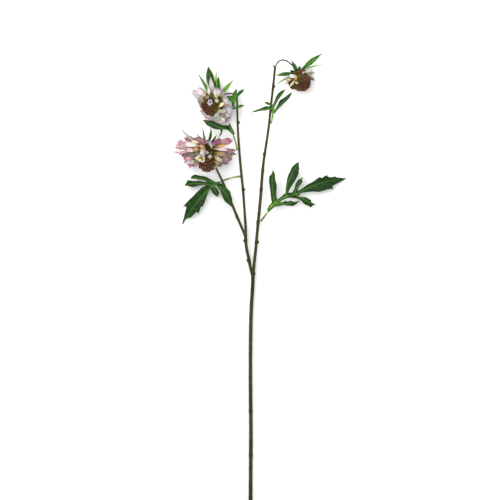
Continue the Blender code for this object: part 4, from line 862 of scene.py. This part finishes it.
def bud_material():
    """Closed flower bud: half matt, olive while young, burgundy where ripe, with painted shade in its
    creases and underneath and a painted highlight on its top.
    """
    material, tree, shader = new_material("closed_bud", Roughness=0.5, IOR=1.42, Subsurface_Weight=0.06,
                                          Subsurface_Scale=0.6 * MM, Specular_IOR_Level=0.25)
    place = add_node(tree, "ShaderNodeTexCoord").outputs["Object"]
    # Fine mottling 1.2 mm wide, and blotches of riper colour 3.5 mm wide
    mottle = add_node(tree, "ShaderNodeTexNoise", {"Vector": place, "Scale": 1 / (1.2 * MM),
                                                   "Detail": 4.0})
    blotch = add_node(tree, "ShaderNodeTexNoise", {"Vector": place, "Scale": 1 / (3.5 * MM),
                                                   "Detail": 2.0})
    ripe = add_node(tree, "ShaderNodeAttribute", attribute_name="ripe").outputs["Fac"]
    tone = spread(tree, blotch.outputs["Fac"], 1.2, ripe)
    skin = add_node(tree, "ShaderNodeValToRGB", {"Fac": tone},
                    [(0.0, "#62641f"), (0.22, "#473f12"), (0.42, "#6f5024"), (0.62, "#663a26"),
                     (0.82, "#5c2a28"), (1.0, "#43191e")])
    # Wrinkles 1 mm apart, their edges painted dark as shade in the creases
    cells = add_node(tree, "ShaderNodeTexVoronoi", {"Vector": place, "Scale": 1 / MM,
                                                    "Randomness": 1.0}, feature="DISTANCE_TO_EDGE")
    shaded_crease = add_node(tree, "ShaderNodeMapRange", {"Value": cells.outputs["Distance"], "From Min": 0.0,
                                                 "From Max": 0.16, "To Min": 0.55, "To Max": 1.0})
    # Painted shade: the underside of each bud, its creases where this value is low, and the wrinkle lines
    # are mixed towards near-black
    lit_share = add_node(tree, "ShaderNodeAttribute", attribute_name="lit_share").outputs["Fac"]
    depth = add_node(tree, "ShaderNodeMapRange", {"Value": lit_share, "From Min": 0.28, "From Max": 0.72})
    open_to_light = add_node(tree, "ShaderNodeMath", {0: depth.outputs[0], 1: shaded_crease.outputs[0]},
                             operation="MULTIPLY")
    dark = add_node(tree, "ShaderNodeMix", {0: open_to_light.outputs[0], MIX_A: linear("#120904"),
                                            MIX_B: skin.outputs["Color"]}, data_type="RGBA")
    # Painted highlight: the mottled tops of the buds are lightened towards pale brown
    highlight_mask = add_node(tree, "ShaderNodeMath", {0: lit_share, 1: mottle.outputs["Fac"]}, operation="MULTIPLY")
    top = add_node(tree, "ShaderNodeMapRange", {"Value": highlight_mask.outputs[0], "From Min": 0.34,
                                                "From Max": 0.52, "To Min": 0.0, "To Max": 0.4})
    colour = add_node(tree, "ShaderNodeMix", {0: top.outputs[0], MIX_A: dark.outputs[MIX_RESULT],
                                              MIX_B: linear("#a0744e")}, data_type="RGBA")
    relief = add_node(tree, "ShaderNodeMath", {0: mottle.outputs["Fac"], 1: shaded_crease.outputs[0]},
                      operation="ADD")
    bump = add_node(tree, "ShaderNodeBump", {"Height": relief.outputs[0], "Strength": 0.7,
                                             "Distance": 0.25 * MM})
    finish_skin(tree, shader, colour, bump)
    return material


def floor_material():
    """Plain matt paper backdrop, nearly white."""
    material, tree, shader = new_material("paper_backdrop", Roughness=0.9)
    place = add_node(tree, "ShaderNodeTexCoord").outputs["Object"]
    cloud = add_node(tree, "ShaderNodeTexNoise", {"Vector": place, "Scale": 3.0, "Detail": 2.0})
    tone = add_node(tree, "ShaderNodeValToRGB", {"Fac": cloud.outputs["Fac"]},
                    [(0.3, "#f3f3f2"), (0.7, "#f7f7f6")])
    tree.links.new(tone.outputs["Color"], shader.inputs["Base Color"])
    return material


# The stem


def knob(place, size):
    """A node on a stem: a stub left by a leaf, a little longer than it is thick."""
    bpy.ops.mesh.primitive_uv_sphere_add(segments=16, ring_count=10, radius=size * MM)
    piece = named("knob")
    for vertex in piece.data.vertices:
        vertex.co.y *= KNOB_LENGTH
        vertex.co += vertex.co.normalized() * noise.noise(vertex.co / MM) * 0.15 * MM
        vertex.co += place
    return piece


def stem_route(points, step, ends=()):
    """A smooth run through a table's rows and through further places with their radii."""
    places = [spot(*p[:3]) for p in points] + [e[0] for e in ends]
    radii = [p[3] for p in points] + [e[1] for e in ends]
    return smooth_route(places, radii, step)


def build_stem(blooms, material):
    """The forked stem with its hooked stalks, uneven and swollen at its nodes."""
    low, upper, right = (blooms[k] for k in ("bloom_low_left", "bloom_upper_left", "bloom_right"))
    seat = CUP_DEPTH + SEAT_GAP / MM
    low_end = [(low.back(seat + 3.0), 0.95), (low.back(seat), 1.2)]
    right_end = [(right.back(seat + 2.0), 0.85), (right.back(seat), 1.1)]
    upper_end = [(upper.back(seat + 2.0), 0.85), (upper.back(seat), 1.1)]
    runs = [
        stem_route(MAIN_STEM, STEM_STEP),
        stem_route(RIGHT_BRANCH, STEM_STEP),
        stem_route(LEFT_BRANCH, STEM_STEP),
        stem_route(INNER_LEFT_BRANCH, STEM_STEP),
        stem_route(OUTER_LEFT_BRANCH, STEM_STEP, low_end),
        stem_route(RIGHT_STALK, STALK_STEP, right_end),
        stem_route(UPPER_LEFT_STALK, STALK_STEP, upper_end),
        stem_route(STUB, STALK_STEP),
    ]
    knobs = [(spot(x, y, height), size) for x, y, height, size in STEM_KNOBS]
    pieces = []
    for number, (route, radii) in enumerate(runs):
        uneven = []
        for place, radius in zip(route, radii):
            swell = sum(KNOB_SWELL * math.exp(-((place - at).length / KNOB_REACH) ** 2)
                        for at, _ in knobs)
            ripple = 0.05 * noise.noise(place / (7 * MM) + Vector((0, 0, number)))
            uneven.append(radius * (1 + min(swell, KNOB_SWELL) + ripple))
        pieces.append(tube("stem_run", route, uneven, 5))
    pieces += [knob(place, size) for place, size in knobs]
    stem = fuse(pieces[0], pieces[1:])
    stem.name = stem.data.name = "stem_skin"
    browns = []
    for vertex in stem.data.vertices:
        row = ORIGIN_Y - vertex.co.y / MM / MM_PER_PIXEL
        band = max(1 - smoothstep(0.6 * half, 1.5 * half, abs(row - middle))
                   for middle, half in BROWN_BANDS)
        near = min((vertex.co - at).length for at, _ in knobs)
        browns.append(max(0.75 * band, math.exp(-(near / BAND_HALO) ** 2)))
    note(stem, "brown", browns)
    settle(stem)
    shade(stem, 60)
    hand_over(stem, material, "stem", "stem")


# The leaves


def middle_line(vein, steps):
    """Points along a lobe's vein: a smooth bow through its base, middle and tip."""
    start, middle, tip = (spot(*p) for p in vein)
    for i in range(steps):
        t = i / (steps - 1)
        yield start * (1 - t) ** 2 + (4 * middle - start - tip) * t * (1 - t) + tip * t ** 2


def edge_outline(stretches):
    """A lobe's outline as flat points: smooth stretches that meet in corners, a little uneven."""
    points, last = [], None
    for stretch in stretches:
        corners = [spot(*p) for p in stretch]
        if last is not None:
            corners = [last] + corners
        if len(corners) > 1:
            route, _ = smooth_route(corners, [0.0] * len(corners), LEAF_GRAIN)
            points += route[:-1]
        last = corners[-1]
    uneven = []
    for place in points:
        shift = noise.noise_vector(place / (2.5 * MM)) * 0.18 * MM
        uneven.append((place + shift).to_2d())
    return uneven


def vein_tree(veins):
    """A search tree of the points along a leaf's veins, with each one's height, run and share."""
    tree, marks = KDTree(sum(len(vein) for vein in veins)), []
    for vein in veins:
        length = 0.0
        for i, place in enumerate(vein):
            length += (place - vein[i - 1]).length if i else 0.0
            tree.insert((place.x, place.y, 0.0), len(marks))
            marks.append((place.z, length, i / (len(vein) - 1)))
    tree.balance()
    return tree, marks


def cut_blade(outlines):
    """The flat points and the triangles of a blade that fills its outlines with an even net."""
    points, faces = [], []
    for outline in outlines:
        faces.append(list(range(len(points), len(points) + len(outline))))
        points.extend(outline)
    low = Vector((min(p.x for p in points), min(p.y for p in points)))
    high = Vector((max(p.x for p in points), max(p.y for p in points)))
    row_step = LEAF_GRAIN * math.sqrt(3) / 2
    for j in range(int((high.y - low.y) / row_step) + 1):
        for i in range(int((high.x - low.x) / LEAF_GRAIN) + 1):
            points.append(Vector((low.x + (i + 0.5 * (j % 2)) * LEAF_GRAIN, low.y + j * row_step)))
    flat, _, triangles, _, _, _ = delaunay_2d_cdt(points, [], faces, 1, 0.1 * MM)
    used = sorted({i for corner in triangles for i in corner})
    order = {old: new for new, old in enumerate(used)}
    return [flat[i] for i in used], [[order[i] for i in corner] for corner in triangles]


def leaf_stalk(route):
    """The round stalk of a leaf, thinner and darker the further it runs into the blade."""
    last = len(route) - 1
    stalk = tube("stalk", route, [1.15 - 0.6 * i / last for i in range(len(route))], 3)
    ends = KDTree(len(route))
    for i, place in enumerate(route):
        ends.insert(place, i)
    ends.balance()
    shares = [ends.find(vertex.co)[1] / last for vertex in stalk.data.vertices]
    note(stalk, "ripe", [0.04 + 1.1 * min(share, 0.42) for share in shares])
    note(stalk, "rib", 0.0)
    note(stalk, "vein_run", VEIN_SPACING / 2)
    return stalk


def build_leaf(name, material):
    """A cut leaf: one thin blade, folded along the veins of its lobes, on a round stalk."""
    plan = LEAVES[name]
    rib = [spot(*p) for p in plan["rib"]]
    route, _ = smooth_route(rib, [0.0] * len(rib), MM)
    blade_rib = route[len(route) // 3:]
    tree, marks = vein_tree([blade_rib] + [list(middle_line(vein, 36)) for vein in plan["veins"]])

    def lie(place):
        """Height, closeness to a vein and the run of the side veins at a flat place."""
        near = tree.find_n((place.x, place.y, 0.0), 24)
        weights = [1 / (d + 0.6 * MM) ** 3 for _, _, d in near]
        level = sum(w * marks[i][0] for w, (_, i, _) in zip(weights, near)) / sum(weights)
        _, index, edge = near[0]
        _, length, share = marks[index]
        wave = noise.noise(Vector((place.x, place.y, 0.0)) / (6 * MM)) * min(edge / (3 * MM), 1.0)
        groove = VEIN_GROOVE * math.exp(-(edge / (0.55 * MM)) ** 2)
        closeness = math.exp(-(edge / ((0.75 - 0.35 * share) * MM)) ** 2)
        height = level + LEAF_FOLD * edge + LEAF_WAVE * wave - groove
        return height, closeness, (length - 0.9 * edge) / MM

    points, triangles = cut_blade([edge_outline(stretches) for stretches in plan["edges"]])
    lies = [lie(point) for point in points]
    mesh = bpy.data.meshes.new(name)
    mesh.from_pydata([(*point, at[0]) for point, at in zip(points, lies)], [], triangles)
    blade = bpy.data.objects.new(name + "_blade", mesh)
    bpy.context.scene.collection.objects.link(blade)
    junction = blade_rib[0].to_2d()
    far = [min(1.0, (point - junction).length / RIPE_REACH) for point in points]
    note(blade, "rib", [at[1] * 0.8 for at in lies])
    note(blade, "vein_run", [at[2] for at in lies])
    note(blade, "ripe", [0.5 + 0.4 * share ** 0.7 for share in far])
    thicken(blade, LEAF_THICKNESS)
    leaf = join(name + "_blade", [blade, leaf_stalk(route)])
    settle(leaf)
    shade(leaf, 40)
    hand_over(leaf, material, "leaf", name)


# The blooms


class Bloom:
    """The frame of one bloom: its centre, its axis and the two directions of its ring."""

    def __init__(self, plan):
        self.centre = spot(*plan["spot"])
        self.axis = Vector(plan["axis"]).normalized()
        right = Vector((1, 0, 0))
        self.right = (right - self.axis * right.dot(self.axis)).normalized()
        self.up = self.axis.cross(self.right)

    def out(self, azimuth):
        """The direction from the axis at an azimuth."""
        angle = math.radians(azimuth)
        return self.right * math.cos(angle) + self.up * math.sin(angle)

    def at(self, azimuth, reach, rise):
        """A place at a reach from the axis and a rise over the plane of the ring, in mm."""
        return self.centre + self.out(azimuth) * reach * MM + self.axis * rise * MM

    def back(self, depth):
        """A place behind the bloom on its axis."""
        return self.centre - self.axis * depth * MM


def petal_line(row, root, t):
    """Radius and rise of a petal's middle line at t, and its lift there, by short steps."""
    _, reach, _, lift_in, lift_out = row
    length = (reach - root) * t
    radius, rise, parts = root, 0.0, 8
    for i in range(parts):
        lift = math.radians(lift_in + (lift_out - lift_in) * t * (i + 0.5) / parts)
        radius += math.cos(lift) * length / parts
        rise += math.sin(lift) * length / parts
    return radius, rise, math.radians(lift_in + (lift_out - lift_in) * t)


def blade(name, bloom, row, root, base_rise, shape, tip, wave, columns, rows, bow=0.0, turn=0.0):
    """A petal or bract as an open waved sheet, bowed aside and turned round its own length."""
    azimuth, _, width, _, _ = row
    out, side = bloom.out(azimuth), bloom.out(azimuth + 90)

    def place(s, t):
        t *= tip(s)
        twist = math.radians(turn) * min(1.0, 1.8 * t)
        radius, rise, lift = petal_line(row, root, t)
        over = bloom.axis * math.cos(lift) - out * math.sin(lift)
        across = side * math.cos(twist) + over * math.sin(twist)
        over = over * math.cos(twist) - side * math.sin(twist)
        middle = bloom.centre + out * radius * MM + bloom.axis * (base_rise + rise) * MM
        aside = s * shape(t) * width / 2 + bow * math.sin(math.pi * t)
        return middle + across * aside * MM + over * wave(s, t) * MM

    return sheet(name, columns, rows, place)


def petal_outline(cut, phase):
    """How wide a petal is along its length, and how far its tip reaches across its width."""
    rounding, notch_depth, tooth_depth, _ = CUTS[cut]
    notches = (-0.36 + 0.1 * math.sin(phase), 0.36 + 0.1 * math.cos(phase))

    def shape(t):
        swell = 0.2 + 0.8 * math.sin(math.pi * min(0.02 + 0.6 * t, 0.5))
        return swell * (1 - rounding * max(0.0, 2 * t - 1) ** 2)

    def tip(s):
        cuts = sum(notch_depth * math.exp(-((s - n) / 0.08) ** 2) for n in notches)
        teeth = tooth_depth * (math.cos(15 * s + phase) + 0.4 * math.cos(24 * s + 2 * phase) - 0.5)
        return 1.0 - 0.10 * s * s - 0.05 * math.cos(2 * math.pi * s + phase) - cuts + teeth

    return shape, tip


def note_tint(piece, tint):
    """Keeps the three colours of a tint."""
    for layer, colour in zip(("tint_root", "tint_middle", "tint_edge"), TINTS[tint]):
        note(piece, layer, tuple(linear(colour)))


def grid_shares(columns, rows):
    """How far from its middle line, and how far along it, each point of a sheet is."""
    return [(abs(2 * i / columns - 1), j / rows) for j in range(rows + 1) for i in range(columns + 1)]


def tint_petal(piece, tint, columns, rows):
    """Keeps a petal's colours and how near its rim each point is."""
    note_tint(piece, tint)
    rims = []
    for s, t in grid_shares(columns, rows):
        side = 0.8 * smoothstep(0.7, 1.0, s) * smoothstep(0.3, 0.7, t)
        rims.append(max(smoothstep(0.62, 1.0, t), side))
    note(piece, "rim", rims)


def petal(bloom, row, root, rise, draw):
    """A ruffled petal of the ring, pleated along its length."""
    *row, tint, cut = row
    phase = draw.uniform(0, math.tau)
    depth = draw.uniform(0.7, 1.3)
    width = row[2]
    ruffle = CUTS[cut][3]
    columns, rows = 26, 18
    shape, tip = petal_outline(cut, phase)

    def wave(s, t):
        broad = depth * t * (1.2 * s * s + 0.8 * math.sin(4.2 * s + phase))
        frill = ruffle * width * t ** 3 * math.sin(9.5 * s + 1.7 * phase + 2.0 * t)
        curl = 0.04 * width * abs(s) ** 3 * math.sin(12 * t + phase * 3) * t
        pleat = 0.16 * math.cos(24 * s) * t * (1.2 - t)
        return broad + frill + curl + pleat

    piece = blade("petal", bloom, row, root, rise, shape, tip, wave, columns, rows)
    tint_petal(piece, tint, columns, rows)
    return piece


def cover(pieces):
    """A search tree of the faces of several pieces, for finding what lies highest."""
    points, faces = [], []
    for piece in pieces:
        first = len(points)
        points += [vertex.co.copy() for vertex in piece.data.vertices]
        faces += [[first + i for i in face.vertices] for face in piece.data.polygons]
    return BVHTree.FromPolygons(points, faces)


def top_of(tree, x, y):
    """The height of what lies highest at a place, or None where nothing does."""
    hit = tree.ray_cast(Vector((x, y, 0.2)), Vector((0, 0, -1)))[0]
    return None if hit is None else hit.z


def loose_petal(tree, row, draw):
    """A small petal that lies on what is under it, its edges curled up."""
    x0, y0, x1, y1, width, tint, cut = row
    start, end = spot(x0, y0), spot(x1, y1)
    length = (end - start).length
    side = (end - start).cross(Vector((0, 0, 1))).normalized()
    phase = draw.uniform(0, math.tau)
    ruffle = CUTS[cut][3]
    columns, rows = 16, 12
    shape, tip = petal_outline(cut, phase)
    samples = []
    for i in range(13):
        t = i / 12
        for s in (-0.6, 0.0, 0.6):
            at = start.lerp(end, t) + side * s * width / 2 * MM
            level = top_of(tree, at.x, at.y)
            if level is not None:
                samples.append((t, level))

    def highest(low, high, other):
        return max([level for t, level in samples if low <= t <= high], default=other)

    middle = highest(0.3, 0.7, OPEN_HEIGHT)
    ends = (highest(0.0, 0.3, middle), highest(0.7, 1.0, middle))
    bend = max(middle - (ends[0] + ends[1]) / 2, 0.06 * length)

    def place(s, t):
        t *= tip(s)
        level = ends[0] * (1 - t) + ends[1] * t + bend * 4 * t * (1 - t) + 0.3 * MM * t
        curl = 0.10 * width * s * s * (0.4 + t) + ruffle * width * t * t * math.sin(8 * s + phase)
        at = start.lerp(end, t) + side * (s * shape(t) * width / 2 * MM)
        return Vector((at.x, at.y, min(level + (0.2 + curl) * MM, TALLEST)))

    piece = sheet("petal", columns, rows, place)
    tint_petal(piece, tint, columns, rows)
    return piece


def floret(tree, row, draw):
    """A small open floret on the head: a funnel that flares into five crumpled lobes."""
    x, y, size, azimuth, lean, tint = row
    phase = draw.uniform(0, math.tau)
    lobes, columns, rows = 5, 40, 10
    tilt, way = math.radians(lean), math.radians(azimuth)
    facing = Vector((math.cos(way) * math.sin(tilt), math.sin(way) * math.sin(tilt), math.cos(tilt)))
    turn = facing.to_track_quat("Z", "Y")
    centre = spot(x, y)
    around = [(0, 0), (1, 0), (-1, 0), (0, 1), (0, -1)]
    step = 0.45 * size * MM
    tops = [top_of(tree, centre.x + step * i, centre.y + step * j) for i, j in around]
    centre.z = max([top for top in tops if top is not None], default=OPEN_HEIGHT) + 0.2 * size * MM

    def place(s, t):
        angle = math.pi * s
        lobe = 1 + t * t * (0.14 * math.cos(lobes * angle + phase) + 0.16 * math.sin(2 * angle + phase))
        across = size * (0.28 + 0.72 * t ** 1.6) * (lobe + 0.05 * t * math.sin(13 * angle))
        crumple = 0.2 * size * t * t * math.cos(3 * angle + 2 * phase)
        height = size * (t - 0.3 * t ** 3 - 0.55) + crumple
        at = centre + turn @ Vector((across * math.cos(angle), across * math.sin(angle), height)) * MM
        return Vector((at.x, at.y, min(at.z, TALLEST)))

    piece = sheet("floret", columns, rows, place)
    tint_petal(piece, tint, columns, rows)
    merge_points(piece)
    return piece


def bract(bloom, row, root, rise):
    """A narrow pointed bract, folded along its middle, with its tip curled a little."""
    *row, fresh, widest, bow, turn = row
    columns, rows = 8, 24

    def shape(t):
        if t < widest:
            return 0.25 + 0.75 * math.sin(math.pi / 2 * t / widest)
        return max(0.03, math.cos(math.pi / 2 * (t - widest) / (1 - widest)) ** 1.2)

    def tip(s):
        return 1.0 - 0.04 * abs(s)

    def wave(s, t):
        return 0.13 * row[2] * abs(s) * shape(t) + 0.25 * math.sin(9 * t + row[0]) * s

    piece = blade("bract", bloom, row, root, rise, shape, tip, wave, columns, rows, bow, turn)
    places = grid_shares(columns, rows)
    note(piece, "fresh", [fresh - 0.15 + 0.25 * s + 0.1 * t for s, t in places])
    note(piece, "fold", [0.55 * math.exp(-(s / 0.2) ** 2) * (1 - t) for s, t in places])
    note(piece, "dry", [0.8 * smoothstep(0.86, 1.0, t) for s, t in places])
    return piece


def build_bracts(name, plan, bloom, material):
    """The green cup behind the petals, ribbed, with its bracts."""
    disc = plan["disc"]
    profile = [(1.2, -CUP_DEPTH), (CUP_FOOT, -4.9), (disc * 0.34, -4.6), (disc * 0.5, -4.0),
               (disc * 0.62, -3.3), (disc * 0.72, -2.5), (disc * 0.8, -1.5), (disc * 0.76, -1.3),
               (0.5, -1.3)]
    cup = turned("cup", profile, 40, bloom)
    for vertex in cup.data.vertices:
        out = vertex.co - bloom.centre
        out -= bloom.axis * out.dot(bloom.axis)
        angle = math.atan2(out.dot(bloom.up), out.dot(bloom.right))
        vertex.co += out * 0.035 * math.cos(CUP_RIBS * angle)
    for layer in ("fresh", "fold", "dry"):
        note(cup, layer, 0.0)
    blades = [bract(bloom, row, disc * 0.45, -2.6) for row in plan["bracts"]]
    bracts = join("bract_blades", blades)
    thicken(bracts, BRACT_THICKNESS)
    bracts = join(name + "_bract_blades", [bracts, cup])
    settle(bracts)
    shade(bracts, 45)
    hand_over(bracts, material, "bract", name + "_bracts")


def build_petals(name, plan, bloom, slot, draw, material, heads):
    """The ring with its outer petals, the inner ones that stand up, and what lies loose on the head."""
    disc = plan["disc"]
    sheets = []
    for i, (azimuth, reach, width, lift_in, lift_out, tint, cut) in enumerate(plan["outer"]):
        layer = i % 2
        row = (azimuth, reach, width, lift_in + LAYER_LIFT * layer, lift_out, tint, cut)
        sheets.append(petal(bloom, row, disc - OUTER_ROOT, (layer - 0.5) * DISC_HALF, draw))
    sheets += [petal(bloom, row, disc - INNER_ROOT, 0.2, draw) for row in plan["inner"]]
    below = cover(heads + sheets)
    sheets += [loose_petal(below, row, draw) for row in plan["loose"]]
    below = cover(heads + sheets)
    sheets += [floret(below, row, draw) for row in plan["florets"]]
    petals = join("petal_sheets", sheets)
    thicken(petals, PETAL_THICKNESS)
    profile = [(disc * 0.9, -DISC_HALF), (disc, -0.5), (disc, 0.5), (disc * 0.92, DISC_HALF),
               (1.0, DISC_HALF)]
    ring = turned("ring", profile, 48, bloom)
    note_tint(ring, "ring")
    note(ring, "rim", 0.0)
    petals = join(name + "_petal_sheets", [petals, ring])
    settle(petals)
    shade(petals, 60)
    hand_over(petals, material, slot, name + "_petals")


def head_radius(head, u):
    """Radius of the head at the share u of its height: wide at its waist, round at its top."""
    waist = head["widest"]
    if u < waist:
        return head["radius"] * (0.6 + 0.4 * math.sin(math.pi / 2 * u / waist))
    return head["radius"] * math.sqrt(max(0.0, 1 - ((u - waist) / (1 - waist)) ** 2))


def bud_shape(lobes):
    """One closed bud: a plump drop whose lobes fold in over its top, with creases between them."""
    bpy.ops.mesh.primitive_uv_sphere_add(segments=lobes * 4, ring_count=7, radius=1.0)
    piece = named("bud")
    lit_shares = []
    for vertex in piece.data.vertices:
        up = vertex.co.z
        crease = (0.5 + 0.5 * math.cos(lobes * math.atan2(vertex.co.y, vertex.co.x))) ** 2
        over = max(0.0, up + 0.3) / 1.3
        if up > 0.99:
            crease = 1.0
        pinch = 1.0 - 0.24 * over * crease
        vertex.co = Vector((vertex.co.x * pinch, vertex.co.y * pinch, up * (1.2 - 0.35 * over * crease)))
        # Low underneath and in the creases, high on the lobes: the bud material paints shade and highlight
        # from this value
        lit_shares.append((up + 1) / 2 * (1 - 0.8 * over * crease))
    note(piece, "lit_share", lit_shares)
    return piece


def set_bud(template, place, normal, size, ripe, draw):
    """A copy of the bud at a place, turned outward, a little uneven in its size and shape."""
    bud = template.copy()
    bud.data = template.data.copy()
    bpy.context.scene.collection.objects.link(bud)
    grown = size * draw.uniform(0.8, 1.15) * MM
    normal = normal.normalized() + Vector([draw.uniform(-0.28, 0.28) for _ in range(3)])
    turn = normal.to_track_quat("Z", "Y").to_matrix().to_4x4()
    spin = Matrix.Rotation(draw.uniform(0, math.tau), 4, "Z")
    squeeze = Matrix.Diagonal((grown * draw.uniform(0.82, 1.1), grown, grown * draw.uniform(0.9, 1.2), 1))
    bud.data.transform(Matrix.Translation(place) @ turn @ spin @ squeeze)
    note(bud, "ripe", ripe + draw.uniform(-0.2, 0.2))
    return bud


def dome_spots(head, bloom, foot):
    """The places of the buds on a head, by the golden angle up to its top, and how ripe each is."""
    tall, size, count = head["height"] - foot, head["bud"], head["buds"]
    for i in range(count):
        u = (i + 0.5) / count
        azimuth = GOLDEN_ANGLE * i
        reach = max(0.0, head_radius(head, u) - size * 0.5)
        place = bloom.at(azimuth, reach, foot + size * 0.8 + (tall - size * 1.5) * u)
        side = 0.5 + 0.5 * math.cos(math.radians(azimuth - head["ripe_azimuth"]))
        above = smoothstep(head["ripe_from"] - 0.2, head["ripe_from"] + 0.3, u)
        yield place, 0.5 * above + 0.6 * side ** 2 - 0.05


def collar_spots(disc, size, bloom):
    """The places and directions of two rows of buds round the ring's rim, which close its gap."""
    around = round(math.tau * disc / (1.7 * size))
    for i in range(2 * around):
        azimuth, layer = 180 * i / around, i % 2
        place = bloom.at(azimuth, disc - (0.4 + 0.6 * layer) * size, 0.5 + 1.4 * layer * size)
        yield place, bloom.out(azimuth) + bloom.axis * 0.6


def build_head(name, plan, bloom, draw, material):
    """The domed head: a core painted near-black as the shade between its buds, covered in closed buds, down
    to the rim of the ring.
    """
    head = plan["head"]
    size = head["bud"]
    foot = DISC_HALF + SEAT_GAP / MM
    tall = head["height"] - foot
    profile = [(head_radius(head, u) * CORE_SHARE, foot + tall * 0.92 * u)
               for u in (0.0, 0.15, 0.3, 0.45, 0.6, 0.72, 0.84, 0.93, 0.985)]
    core = turned("core", profile, 32, bloom)
    # The core's low value here paints it mostly near-black, as shade between the buds
    note(core, "lit_share", 0.45)
    note(core, "ripe", 0.5)
    templates = [bud_shape(lobes) for lobes in (4, 5)]
    middle = bloom.at(0, 0, foot + tall * head["widest"] * 0.8)
    pieces = [core]
    for place, ripe in dome_spots(head, bloom, foot):
        pieces.append(set_bud(draw.choice(templates), place, place - middle, size, ripe, draw))
    for place, outward in collar_spots(plan["disc"], size, bloom):
        pieces.append(set_bud(draw.choice(templates), place, outward, size, draw.uniform(0.1, 0.35), draw))
    finished = [(join(name + "_buds", pieces), name + "_head")]
    if "side_buds" in plan:
        sides = [set_bud(draw.choice(templates), spot(*row), Vector(SIDE_BUD_WAY), SIDE_BUD, 0.5, draw)
                 for row in plan["side_buds"]]
        finished.append((join(name + "_side_buds", sides), name + "_petals"))
    for template in templates:
        bpy.data.objects.remove(template)
    for piece, node in finished:
        settle(piece)
        shade(piece, 60)
        hand_over(piece, material, "beads", node)
    return [piece for piece, _ in finished]


def build_spray():
    """All the pieces of the spray, from the stem up."""
    noise.seed_set(NOISE_SEED)
    blooms = {name: Bloom(plan) for name, plan in BLOOMS.items()}
    build_stem(blooms, stem_material())
    leaf = leaf_material()
    for name in LEAVES:
        build_leaf(name, leaf)
    green, buds = bract_material(), bud_material()
    pink, white = petal_material("pink_petal"), petal_material("white_petal")
    for number, (name, plan) in enumerate(BLOOMS.items()):
        petals, slot = (pink, "petal_pink") if name == "bloom_low_left" else (white, "petal_white")
        build_bracts(name, plan, blooms[name], green)
        heads = build_head(name, plan, blooms[name], random.Random(BUD_SEED + number), buds)
        draw = random.Random(PETAL_SEED + number)
        build_petals(name, plan, blooms[name], slot, draw, petals, heads)


# The stage


def add_light(name, place, target, size, power):
    """A round soft light, aimed at a target; its size in metres and its power in watts."""
    bpy.ops.object.light_add(type="AREA", location=place)
    light = named(name)
    light.data.shape = "DISK"
    light.data.size = size
    light.data.energy = power
    light.rotation_mode = "QUATERNION"
    light.rotation_quaternion = (Vector(place) - Vector(target)).to_track_quat("Z", "Y")


def set_stage():
    """A pale floor, soft light from above and all round, and a camera that looks straight down."""
    bpy.ops.mesh.primitive_plane_add(size=4.0, location=(0, 0, 0))
    floor = named("floor")
    floor.data.materials.append(floor_material())
    middle = spot(PHOTO_PIXELS / 2, PHOTO_PIXELS / 2)
    add_light("key", (-0.35, 0.5, 1.0), middle, 1.3, 18.0)
    add_light("fill", (0.8, -0.3, 1.0), middle, 1.4, 7.0)
    world = bpy.data.worlds.new("soft_room")
    world.use_nodes = True
    background = world.node_tree.nodes["Background"]
    background.inputs["Color"].default_value = linear("#ffffff")
    background.inputs["Strength"].default_value = 0.45
    bpy.context.scene.world = world
    bpy.ops.object.camera_add(location=(middle.x, middle.y, 1.0), rotation=(0, 0, 0))
    camera = named("camera")
    camera.data.type = "ORTHO"
    camera.data.ortho_scale = PHOTO_PIXELS * MM_PER_PIXEL * MM
    camera.data.clip_start = 0.01
    camera.data.clip_end = 10.0
    bpy.context.scene.camera = camera
    bpy.context.scene.view_settings.view_transform = "Standard"


build_spray()
set_stage()
